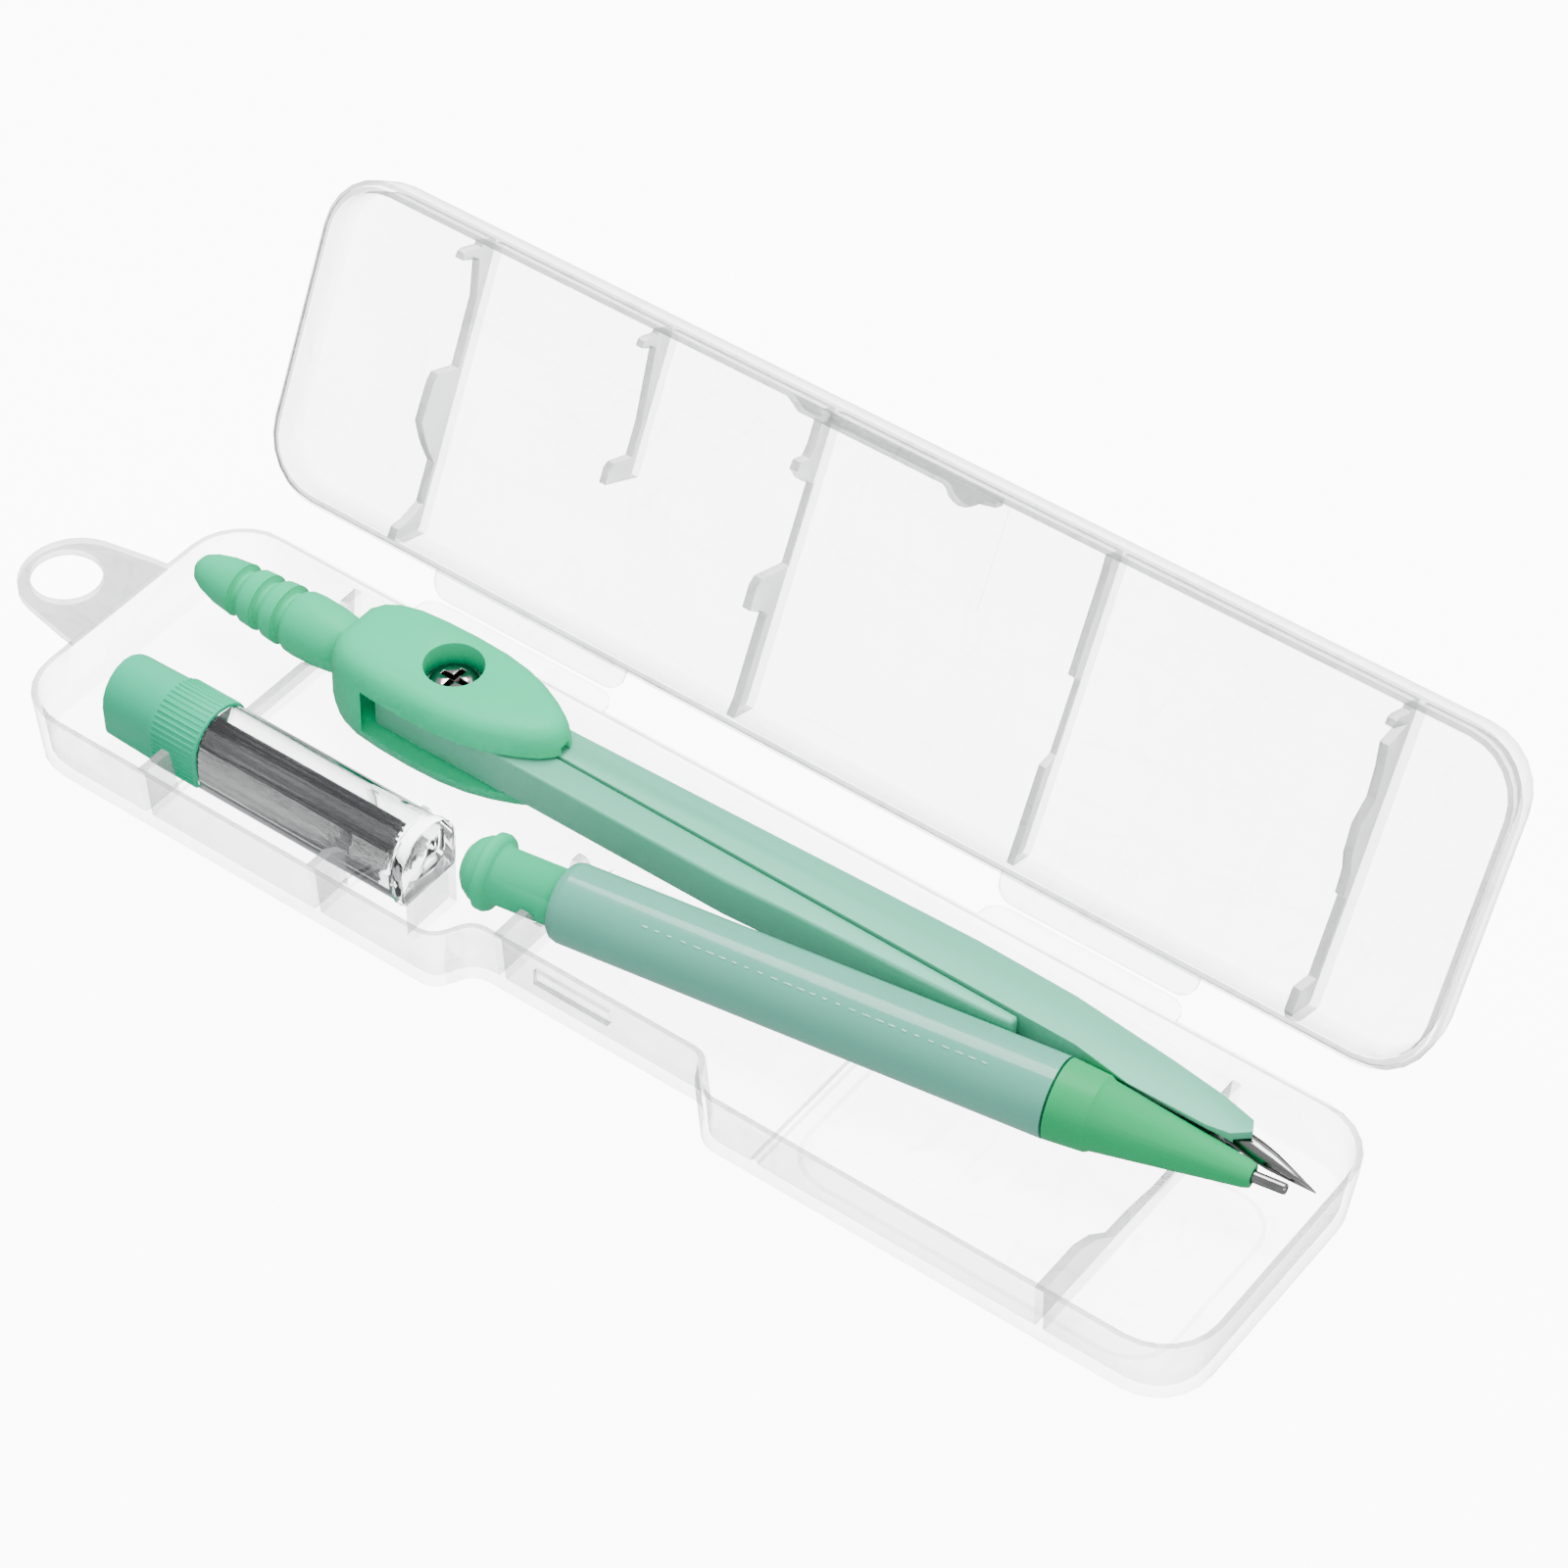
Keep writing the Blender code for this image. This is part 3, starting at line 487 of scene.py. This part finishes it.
@dataclass(frozen=True)
class Enamel:
    """Satin paint on sheet metal: fine orange peel, a few metal flakes, cloudy along its length.

    Attributes:
        name: the material's name.
        slot: its material slot in the record; not used.
        colour: the paint where it's thin.
        deep: the paint where it's thick.
        roughness: the roughness of clean paint.
    """

    name: str
    slot: str
    colour: Colour
    deep: Colour
    roughness: float

    def build(self) -> bpy.types.Material:
        """Returns the material of this paint."""
        s = Shader(self.name)
        peel = s.noise(1500.0, 2.0)
        cloud = s.noise(50.0, 3.0, (0.3, 1.0, 1.0))
        flake = s.noise(9000.0, 1.0)
        s.set(Base_Color=s.mix((cloud * 0.6 + flake * 0.3).held(), self.colour, self.deep))
        s.set(Roughness=(self.roughness - 0.06 + cloud * 0.12 + flake * 0.06).held(), Metallic=0.1)
        s.set(Coat_Weight=0.1, Coat_Roughness=0.3, Specular_IOR_Level=0.25)
        s.bump(peel + flake * 0.3, 0.12, 0.00005)
        return s.material


@dataclass(frozen=True)
class Graphite:
    """Polymer graphite lead: dark, a little silky, with lengthwise drawing marks.

    Attributes:
        name: the material's name.
        slot: its material slot in the record; not used.
        colour: the lead between its marks.
        pale: the lead along its marks.
    """

    name: str
    slot: str
    colour: Colour
    pale: Colour

    def build(self) -> bpy.types.Material:
        """Returns the material of the leads."""
        s = Shader(self.name)
        drawn = s.noise(3000.0, 3.0, (0.05, 1.0, 1.0))
        s.set(Base_Color=s.mix((drawn * 1.1).held(), self.colour, self.pale), Metallic=0.05)
        s.set(Roughness=(0.38 + drawn * 0.2).held(), Specular_IOR_Level=0.3)
        s.bump(drawn, 0.2, 0.00004)
        return s.material


class Finish(Enum):
    """The finishes of the set, one for each kind of piece."""

    TRAY = Frosted(
        "tray_frosted", "case_plastic", (0.62, 0.625, 0.63), (0.24, 0.243, 0.247), alpha=0.085,
        up=(0.0, 0.0, 1.0), level=0.0022, inward=(0.0, -1.0, 0.0), web=-0.0214,
    )
    LID = Frosted(
        "lid_frosted", "case_plastic", (0.62, 0.625, 0.63), (0.28, 0.283, 0.287), alpha=0.19,
        up=(0.0, -0.9081, 0.4187), level=-0.0049, inward=(0.0, 0.4187, 0.9081), web=0.0035,
        origin=(0.0, 0.02492, 0.01011),
    )
    MINT = Moulded(
        "mint_gloss", "mint_plastic", (0.0, 0.62, 0.30), (0.0, 0.53, 0.225),
        roughness=0.38, grain=0.08, gloss=0.12,
    )
    BARREL = Moulded(
        "barrel_gloss", "barrel_plastic", (0.11, 0.45, 0.325), (0.09, 0.39, 0.275),
        roughness=0.26, grain=0.08, gloss=0.15, coat=0.45,
    )
    # painted highlight: a paler, glossier mint for the dashes of the barrel's broken highlight
    GLINT = Moulded(
        "barrel_ridge_highlight", "barrel_plastic", (0.36, 0.72, 0.60), (0.30, 0.66, 0.53),
        roughness=0.14, grain=0.04, gloss=0.5, coat=0.6,
    )
    CONE = Moulded(
        "cone_gloss", "cone_plastic", (0.0, 0.43, 0.145), (0.0, 0.35, 0.105),
        roughness=0.36, grain=0.08, gloss=0.12,
    )
    BUTTON = Moulded(
        "button_gloss", "barrel_plastic", (0.0, 0.58, 0.27), (0.0, 0.51, 0.21),
        roughness=0.38, grain=0.08, gloss=0.12,
    )
    CAP = Moulded(
        "cap_satin", "cap_plastic", (0.0, 0.54, 0.29), (0.0, 0.48, 0.235),
        roughness=0.42, grain=0.10, gloss=0.2, subsurface=0.05,
    )
    LEG = Enamel("leg_enamel", "leg_paint", (0.12, 0.52, 0.35), (0.095, 0.45, 0.295), roughness=0.45)
    STEEL = Metal(
        "bright_steel_drawn", "bright_steel", (0.42, 0.415, 0.41), (0.02, 0.019, 0.018), roughness=0.16,
    )
    SCREW = Metal(
        "screw_polished", "bright_steel", (0.62, 0.60, 0.595), (0.03, 0.027, 0.025), roughness=0.16,
        stretch=EVEN, grain=0.1, recess=0.01225,
    )
    DULL = Metal(
        "dull_steel_brushed", "dull_steel", (0.36, 0.36, 0.37), (0.08, 0.08, 0.09), roughness=0.36,
    )
    BRASS = Metal(
        "brass_turned", "brass", (0.66, 0.46, 0.18), (0.36, 0.24, 0.08), roughness=0.30,
        stretch=(1.0, 0.1, 0.1),
    )
    CLEAR = Clear("clear_box", "clear_plastic", (0.95, 0.952, 0.955), (0.22, 0.223, 0.226))
    LEAD = Graphite("graphite_drawn", "graphite", (0.007, 0.0072, 0.008), (0.024, 0.0245, 0.026))


class Body(Enum):
    """The moving bodies of the set."""

    TRAY = "tray"
    LID = "lid"
    HEAD = "compass_head"
    NEEDLE_ARM = "needle_arm"
    PENCIL_ARM = "pencil_arm"
    CLUTCH = "clutch"
    LEAD_BOX = "lead_box"
    LEAD_CAP = "lead_cap"


# --------------------------------------------------------------------------- shared moves
class Workshop:
    """Keeps one material for each finish and the moves shared by all pieces."""

    def __init__(self, frame: dict[str, Any]) -> None:
        """Remembers the loaded frame."""
        self.frame = frame
        self.made: dict[Finish, bpy.types.Material] = {}

    def paint(self, obj: bpy.types.Object, finish: Finish) -> None:
        """Gives an object one finish all over; its material is made on first use.

        Args:
            obj: the object.
            finish: its finish.
        """
        if finish not in self.made:
            self.made[finish] = finish.value.build()
        obj.data.materials.clear()
        obj.data.materials.append(self.made[finish])

    @staticmethod
    def clear() -> None:
        """Deselects everything, so that an operator acts only on what comes next."""
        for obj in bpy.context.view_layer.objects:
            obj.select_set(False)

    def only(self, obj: bpy.types.Object) -> None:
        """Selects one object and nothing else, and makes it the active one."""
        self.clear()
        obj.select_set(True)
        bpy.context.view_layer.objects.active = obj

    def apply(self, obj: bpy.types.Object, kind: str, **settings: Any) -> None:
        """Adds a modifier with its settings and applies it.

        Args:
            obj: the object.
            kind: the modifier's type.
            settings: its attributes.
        """
        self.only(obj)
        made = obj.modifiers.new(kind.title(), kind)
        for key, value in settings.items():
            setattr(made, key, value)
        bpy.ops.object.modifier_apply(modifier=made.name)

    def smooth(self, obj: bpy.types.Object, degrees: float) -> bpy.types.Object:
        """Smooth shading with corners over an angle kept sharp.

        Args:
            obj: the object.
            degrees: the angle over which a corner stays sharp.

        Returns:
            The same object.
        """
        self.only(obj)
        bpy.ops.object.shade_smooth_by_angle(angle=math.radians(degrees))
        return obj

    def refine(self, node: str, body: Body, finish: Finish, corner: float, edge: float = 0.0) -> None:
        """A welded, edge-rounded copy of a CAD node, shown in its place.

        Args:
            node: the CAD node.
            body: the body that it rides on.
            finish: its finish.
            corner: the angle in degrees over which a corner stays sharp or is rounded.
            edge: the rounding of its corners, in millimetres.
        """
        mesh = self.frame["nodes"][node].data.copy()
        bm = bmesh.new()
        bm.from_mesh(mesh)
        bmesh.ops.remove_doubles(bm, verts=bm.verts, dist=WELD)
        bmesh.ops.dissolve_limit(bm, angle_limit=math.radians(FLAT_DEGREES), verts=bm.verts, edges=bm.edges)
        bm.to_mesh(mesh)
        bm.free()
        piece = bpy.data.objects.new(f"{node}_shown", mesh)
        bpy.context.scene.collection.objects.link(piece)
        if edge:
            limit = math.radians(corner)
            self.apply(piece, "BEVEL", width=edge * MM, segments=2, limit_method="ANGLE", angle_limit=limit)
        self.smooth(piece, corner)
        self.paint(piece, finish)
        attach(piece, body.value)
        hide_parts(node)
        LOG.info("refined %s", node)

    def pick_faces(self, obj: bpy.types.Object, wanted: Callable[[bmesh.types.BMFace], bool]) -> None:
        """Enters edit mode with only the wanted faces selected.

        Args:
            obj: the object.
            wanted: says of each face whether it is picked.
        """
        self.only(obj)
        bpy.ops.object.mode_set(mode="EDIT")
        bpy.ops.mesh.select_mode(type="FACE")
        bpy.ops.mesh.select_all(action="DESELECT")
        bm = bmesh.from_edit_mesh(obj.data)
        for face in bm.faces:
            face.select = wanted(face)
        bmesh.update_edit_mesh(obj.data)

    def rod(self, radius: float, start: float, end: float, taper: float, sides: int = 8) -> bpy.types.Object:
        """A rod along the X axis with both ends drawn in.

        Args:
            radius: the rod's radius in millimetres.
            start: the X of its first end in millimetres.
            end: the X of its last end in millimetres.
            taper: the radius of its end faces, as a share of the rod's.
            sides: the sides of its section.

        Returns:
            The rod, not yet settled.
        """
        self.clear()
        bpy.ops.mesh.primitive_cylinder_add(
            vertices=sides, radius=radius * MM, depth=(end - start) * MM,
            location=((start + end) / 2 * MM, 0.0, 0.0), rotation=(0.0, math.radians(90), 0.0),
        )
        obj = bpy.context.active_object
        bpy.ops.object.transform_apply(location=True, rotation=True, scale=True)
        self.pick_faces(obj, lambda face: abs(face.normal.x) > 0.9)
        bpy.ops.mesh.bevel(offset=radius * MM * (1 - taper), segments=1, affect="EDGES")
        bpy.ops.object.mode_set(mode="OBJECT")
        return obj

    def repeat(self, pattern: bpy.types.Object, places: Iterable[Matrix]) -> bpy.types.Object:
        """Copies of a pattern at each place, joined into one object; the pattern is used up.

        Args:
            pattern: the object that repeats.
            places: where each copy goes.

        Returns:
            The joined copies.
        """
        copies = []
        for place in places:
            copy = bpy.data.objects.new(pattern.name, pattern.data.copy())
            bpy.context.scene.collection.objects.link(copy)
            copy.data.transform(place)
            copies.append(copy)
        bpy.data.objects.remove(pattern)
        self.only(copies[0])
        for copy in copies:
            copy.select_set(True)
        bpy.ops.object.join()
        return bpy.context.active_object

    def settle(
        self, obj: bpy.types.Object, name: str, body: Body, finish: Finish, nodes: Iterable[str] = ()
    ) -> None:
        """Finishes a new piece: its place into its mesh, its paint, its body and what it stands for.

        Args:
            obj: the piece.
            name: its name.
            body: the body that it rides on.
            finish: its finish.
            nodes: the CAD nodes that it replaces.
        """
        self.only(obj)
        bpy.ops.object.transform_apply(location=True, rotation=True, scale=True)
        obj.name = name
        self.paint(obj, finish)
        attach(obj, body.value)
        for node in nodes:
            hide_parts(node)
        LOG.info("made %s", name)


# --------------------------------------------------------------------------- sub-assemblies
@dataclass
class Case:
    """The tray and the lid. Sizes are in millimetres, angles in degrees.

    Attributes:
        edge: the rounding of the moulded corners.
        corner: the angle over which a corner is rounded.
        mould_middle: the middle of the frame that the mould leaves on the tray's floor.
        mould_size: that frame's length and width.
        mould_corner: how far its corners are cut in.
        line_width: the width of its line.
        line_height: the height of its line.
    """

    edge: float = 0.12
    corner: float = 40.0
    mould_middle: Point = (55.3, -3.7, 1.22)
    mould_size: tuple[float, float] = (51.4, 29.4)
    mould_corner: float = 6.0
    line_width: float = 0.6
    line_height: float = 0.05

    def mould_line(self, shop: Workshop) -> None:
        """The faint rounded frame that the mould leaves on the tray's floor."""
        shop.clear()
        bpy.ops.mesh.primitive_plane_add(size=1.0, location=[v * MM for v in self.mould_middle])
        obj = bpy.context.active_object
        obj.scale = (self.mould_size[0] * MM, self.mould_size[1] * MM, 1.0)
        bpy.ops.object.transform_apply(location=True, rotation=True, scale=True)
        shop.pick_faces(obj, lambda face: True)
        bpy.ops.mesh.bevel(offset=self.mould_corner * MM, segments=6, affect="VERTICES")
        shop.pick_faces(obj, lambda face: True)
        bpy.ops.mesh.inset(thickness=self.line_width * MM)
        bpy.ops.mesh.delete(type="FACE")
        shop.pick_faces(obj, lambda face: True)
        rise = (0.0, 0.0, self.line_height * MM)
        bpy.ops.mesh.extrude_region_move(TRANSFORM_OT_translate={"value": rise})
        bpy.ops.mesh.select_all(action="SELECT")
        bpy.ops.mesh.normals_make_consistent(inside=False)
        bpy.ops.object.mode_set(mode="OBJECT")
        shop.settle(obj, "mould_line", Body.TRAY, Finish.TRAY)

    def dress(self, shop: Workshop) -> None:
        """Rounds both halves, gives them the frosted film and adds the mould's line."""
        shop.refine("case_tray", Body.TRAY, Finish.TRAY, self.corner, self.edge)
        shop.refine("case_lid", Body.LID, Finish.LID, self.corner, self.edge)
        self.mould_line(shop)


@dataclass
class Compass:
    """The yoke, the handle, the pivot and both legs. Sizes are in millimetres, angles in degrees.

    Attributes:
        corner: the angle over which a corner is rounded.
        turned_corner: the angle over which a corner of the turned handle stays sharp.
        yoke_edge: the rounding of the yoke.
        screw_edge: the rounding of the pivot screw.
        nut_edge: the rounding of its nut.
        needle_leg_edge: the rounding of the needle leg's folded sheet.
        strip_edge: the rounding of the sheet strip that holds the needle.
        pencil_leg_edge: the rounding of the pencil leg's folded sheet.
    """

    corner: float = 40.0
    turned_corner: float = 30.0
    yoke_edge: float = 0.25
    screw_edge: float = 0.12
    nut_edge: float = 0.1
    needle_leg_edge: float = 0.3
    strip_edge: float = 0.08
    pencil_leg_edge: float = 0.25

    def head(self, shop: Workshop) -> None:
        """The yoke with its handle and pivot."""
        shop.refine("head_yoke", Body.HEAD, Finish.MINT, self.corner, self.yoke_edge)
        shop.refine("handle", Body.HEAD, Finish.MINT, self.turned_corner)
        shop.refine("pivot_screw", Body.HEAD, Finish.SCREW, self.corner, self.screw_edge)
        shop.refine("pivot_nut", Body.HEAD, Finish.DULL, self.corner, self.nut_edge)

    def legs(self, shop: Workshop) -> None:
        """The needle leg with its needle, and the pencil leg."""
        shop.refine("needle_leg", Body.NEEDLE_ARM, Finish.LEG, self.corner, self.needle_leg_edge)
        shop.refine("needle_strip", Body.NEEDLE_ARM, Finish.DULL, self.corner, self.strip_edge)
        shop.refine("needle", Body.NEEDLE_ARM, Finish.STEEL, self.corner)
        shop.refine("pencil_leg", Body.PENCIL_ARM, Finish.LEG, self.corner, self.pencil_leg_edge)

    def dress(self, shop: Workshop) -> None:
        """Refines the head and then the legs."""
        self.head(shop)
        self.legs(shop)


@dataclass
class ClutchPencil:
    """The barrel with its nose, button, clutch and lead. Sizes are in millimetres, angles in degrees.

    Attributes:
        corner: the angle over which a corner stays sharp.
        start: a point on the barrel's axis, which the line's dashes are measured from.
        yaw: the turn of the barrel's axis about Z.
        dash_ring: how far from the axis the dashes lie.
        dash_angle: where round the barrel they lie.
        dash_from: the first dash's place along the axis.
        dash_pitch: the distance from dash to dash.
        dash_radius: a dash's radius.
        dash_length: the longest dash.
        dashes: how many there are.
    """

    corner: float = 30.0
    start: Point = (-9.0, -4.7, 7.9)
    yaw: float = 8.82
    dash_ring: float = 5.12
    dash_angle: float = 123.0
    dash_from: float = 9.0
    dash_pitch: float = 1.72
    dash_radius: float = 0.13
    dash_length: float = 1.2
    dashes: int = 27

    def ridge_highlight(self, shop: Workshop) -> None:
        """The mould's parting line along the barrel as short raised dashes, painted a paler mint as its
        broken highlight.
        """
        pattern = shop.rod(self.dash_radius, 0.0, self.dash_length, 0.4)
        start = Matrix.Translation([v * MM for v in self.start])
        turn = start @ Matrix.Rotation(math.radians(self.yaw), 4, "Z")
        angle = math.radians(self.dash_angle)
        y, z = self.dash_ring * math.cos(angle), self.dash_ring * math.sin(angle)
        places = []
        for i in range(self.dashes):
            share = 0.75 + 0.25 * math.sin(5.3 * i)
            spot = Matrix.Translation(((self.dash_from + self.dash_pitch * i) * MM, y * MM, z * MM))
            places.append(turn @ spot @ Matrix.Scale(share, 4, ACROSS))
        line = shop.smooth(shop.repeat(pattern, places), 60)
        # painted highlight: the dashes take the paler, glossier GLINT finish
        shop.settle(line, "barrel_ridge_highlight_dashes", Body.PENCIL_ARM, Finish.GLINT)

    def dress(self, shop: Workshop) -> None:
        """Refines the pencil's pieces and adds the painted highlight dashes along the parting line."""
        for node, body, finish in (
            ("pencil_barrel", Body.PENCIL_ARM, Finish.BARREL),
            ("pencil_cone", Body.PENCIL_ARM, Finish.CONE),
            ("pencil_sleeve", Body.PENCIL_ARM, Finish.STEEL),
            ("clutch_ring", Body.PENCIL_ARM, Finish.STEEL),
            ("return_spring", Body.PENCIL_ARM, Finish.STEEL),
            ("push_button", Body.CLUTCH, Finish.BUTTON),
            ("lead_tube", Body.CLUTCH, Finish.DULL),
            ("clutch_jaws", Body.CLUTCH, Finish.BRASS),
            ("clutch_coupler", Body.CLUTCH, Finish.BRASS),
            ("pencil_lead", Body.CLUTCH, Finish.LEAD),
        ):
            shop.refine(node, body, finish, self.corner)
        self.ridge_highlight(shop)


@dataclass
class LeadBox:
    """The clear box, its ribbed cap and the bundle of spare leads. Sizes are in millimetres.

    Attributes:
        corner: the angle in degrees over which a corner is rounded.
        tube_edge: the rounding of the box.
        cap_edge: the rounding of the cap.
        middle: the Y of the box's axis.
        cad_leads: how many CAD leads the bundle stands for.
        lead_radius: a lead's radius.
        lead_gap: the gap between the leads of a layer.
        lead_span: the X of both ends of the leads.
        bore_half: half the width of the box's bore.
        layers: the height of each layer of leads.
        slip: how far a lead may have slid along the box, each way from its mean.
        skew: how far a lead may be turned from the box's axis, in degrees.
        collar_span: the X of both ends of the cap's ribbed collar.
        collar_half: half the collar's width.
        collar_shoulder: the height at which its sides turn into its arch.
        collar_top: the height of its arch.
        rib_radius: the radius of a rib.
        arch_ribs: the spaces between the ribs on the arch.
        side_ribs: the ribs on each side.
        side_pitch: the distance between them.
    """

    corner: float = 40.0
    tube_edge: float = 0.12
    cap_edge: float = 0.2
    middle: float = -8.9
    cad_leads: int = 9
    lead_radius: float = 0.29
    lead_gap: float = 0.06
    lead_span: tuple[float, float] = (-68.4, -33.6)
    bore_half: float = 3.72
    layers: tuple[float, ...] = (3.52, 4.1, 4.68, 5.26, 5.84, 6.4)
    slip: float = 0.35
    skew: float = 0.05
    collar_span: tuple[float, float] = (-70.2, -63.3)
    collar_half: float = 5.17
    collar_shoulder: float = 6.75
    collar_top: float = 12.03
    rib_radius: float = 0.16
    arch_ribs: int = 22
    side_ribs: int = 5
    side_pitch: float = 0.72

    def layer_places(self, layer: int) -> list[Matrix]:
        """Where the leads of one layer lie.

        Args:
            layer: the layer's number, 0 at the bottom.

        Returns:
            One matrix for each lead.
        """
        pitch = self.lead_radius * 2 + self.lead_gap
        shift = pitch / 2 if layer % 2 else 0.0
        count = int((2 * self.bore_half - shift) / pitch)
        top = layer == len(self.layers) - 1
        places = []
        for i in range(count):
            if top and i % 3 == 1:
                continue
            y = self.middle - self.bore_half + self.lead_radius + shift + i * pitch
            slide = -self.slip * (1 + math.sin(4.7 * i + 1.9 * layer))
            turn = math.radians(self.skew * math.sin(7.3 * i + 3.1 * layer))
            spot = Matrix.Translation((slide * MM, y * MM, self.layers[layer] * MM))
            places.append(spot @ Matrix.Rotation(turn, 4, "Z"))
        return places

    def bundle(self, shop: Workshop) -> None:
        """Loose layers of thin leads, with gaps in the top one."""
        pattern = shop.rod(self.lead_radius, *self.lead_span, 0.75)
        places = [place for layer in range(len(self.layers)) for place in self.layer_places(layer)]
        bundle = shop.smooth(shop.repeat(pattern, places), 50)
        nodes = [f"spare_lead_{i + 1:02d}" for i in range(self.cad_leads)]
        shop.settle(bundle, "lead_bundle", Body.LEAD_BOX, Finish.LEAD, nodes)

    def grip(self, shop: Workshop) -> None:
        """Fine lengthwise ribs over the arch and down both sides of the cap's collar."""
        pattern = shop.rod(self.rib_radius, *self.collar_span, 0.4)
        rise = self.collar_top - self.collar_shoulder
        spots = []
        for i in range(self.arch_ribs + 1):
            angle = math.pi * i / self.arch_ribs
            spots.append((self.collar_half * math.cos(angle), self.collar_shoulder + rise * math.sin(angle)))
        for side in (-1, 1):
            for k in range(1, self.side_ribs + 1):
                spots.append((side * self.collar_half, self.collar_shoulder - self.side_pitch * k))
        places = [Matrix.Translation((0.0, (self.middle + y) * MM, z * MM)) for y, z in spots]
        ribs = shop.smooth(shop.repeat(pattern, places), 60)
        shop.settle(ribs, "cap_grip_ribs", Body.LEAD_CAP, Finish.CAP)

    def dress(self, shop: Workshop) -> None:
        """Refines the box and its cap, and builds the leads and the grip."""
        shop.refine("lead_box_tube", Body.LEAD_BOX, Finish.CLEAR, self.corner, self.tube_edge)
        shop.refine("lead_box_cap", Body.LEAD_CAP, Finish.CAP, self.corner, self.cap_edge)
        self.bundle(shop)
        self.grip(shop)


# --------------------------------------------------------------------------- surroundings
@dataclass(frozen=True)
class Lamp:
    """A square soft light: its name, place, the point it lights, its side in metres and its watts."""

    name: str
    spot: Point
    aim: Point
    side: float
    power: float

    def hang(self) -> None:
        """Adds the light, turned towards its aim."""
        light = bpy.data.lights.new(self.name, "AREA")
        light.shape, light.size, light.energy = "SQUARE", self.side, self.power
        lamp = bpy.data.objects.new(self.name, light)
        bpy.context.scene.collection.objects.link(lamp)
        lamp.location = self.spot
        lamp.rotation_euler = (Vector(self.aim) - Vector(self.spot)).to_track_quat("-Z", "Y").to_euler()


@dataclass
class Studio:
    """Floor, soft light and camera. Sizes are in metres.

    Attributes:
        eye: the camera's place.
        right: the view's way right.
        down: the view's way down.
        lens: the camera's lens for a 36 mm sensor.
        floor_side: the floor's side.
        floor_drop: how far the floor lies under the set.
        floor_glow: the floor's own light.
        sky: the colour of the even sky.
        sky_strength: its strength.
        lamps: the soft lights.
    """

    eye: Point = (0.24616, -0.32902, 0.44107)
    right: Point = (0.80474, 0.59311, 0.02464)
    down: Point = (0.43310, -0.55824, -0.70767)
    lens: float = 114.56
    floor_side: float = 30.0
    floor_drop: float = 0.0003
    floor_glow: float = 9.0
    sky: Colour = (0.94, 0.97, 1.0)
    sky_strength: float = 0.85
    lamps: tuple[Lamp, ...] = (
        Lamp("key", (-0.15, 0.28, 0.92), (0.0, 0.0, 0.0), 0.5, 16.0),
        Lamp("fill", (0.6, -0.7, 0.6), (0.0, 0.0, 0.0), 0.9, 5.5),
        Lamp("back", (0.0, 0.8, 0.6), (0.0, 0.0, 0.02), 0.7, 5.0),
    )

    def floor(self, shop: Workshop) -> None:
        """A plain pale floor that glows for the camera only, so that no light comes from below."""
        shop.clear()
        bpy.ops.mesh.primitive_plane_add(size=self.floor_side, location=(0.0, 0.0, -self.floor_drop))
        ground = bpy.context.active_object
        ground.name = "floor"
        s = Shader("pale_floor")
        s.set(Base_Color=s.mix(s.noise(3.0, 2.0), (0.93, 0.93, 0.93), (0.90, 0.90, 0.905)), Roughness=0.9)
        s.set(Specular_IOR_Level=0.1, Emission_Color=(1.0, 1.0, 1.0), Emission_Strength=self.floor_glow)
        ground.data.materials.append(s.material)
        ground.visible_diffuse = ground.visible_glossy = False

    def daylight(self) -> None:
        """An even pale sky."""
        world = bpy.data.worlds.new("sky")
        world.use_nodes = True
        background = world.node_tree.nodes["Background"]
        background.inputs["Color"].default_value = (*self.sky, 1.0)
        background.inputs["Strength"].default_value = self.sky_strength
        bpy.context.scene.world = world

    def camera(self) -> None:
        """The camera at the set's viewing angle."""
        data = bpy.data.cameras.new("camera")
        data.lens, data.sensor_width, data.clip_start = self.lens, 36.0, 0.01
        eye = bpy.data.objects.new("camera", data)
        bpy.context.scene.collection.objects.link(eye)
        right, down = Vector(self.right), Vector(self.down)
        turn = Matrix((right, -down, -right.cross(down))).transposed().to_4x4()
        eye.matrix_world = Matrix.Translation(self.eye) @ turn
        bpy.context.scene.camera = eye

    def build(self, shop: Workshop) -> None:
        """Sets up the floor, the lights and the camera."""
        self.floor(shop)
        for lamp in self.lamps:
            lamp.hang()
        self.daylight()
        self.camera()


def main() -> None:
    """Builds the set piece by piece."""
    logging.basicConfig(level=logging.INFO, format="%(name)s: %(message)s")
    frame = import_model()
    shop = Workshop(frame)
    for part in (Case(), Compass(), ClutchPencil(), LeadBox()):
        part.dress(shop)
        LOG.info("finished %s", type(part).__name__)
    Studio().build(shop)


if __name__ == "__main__":
    main()
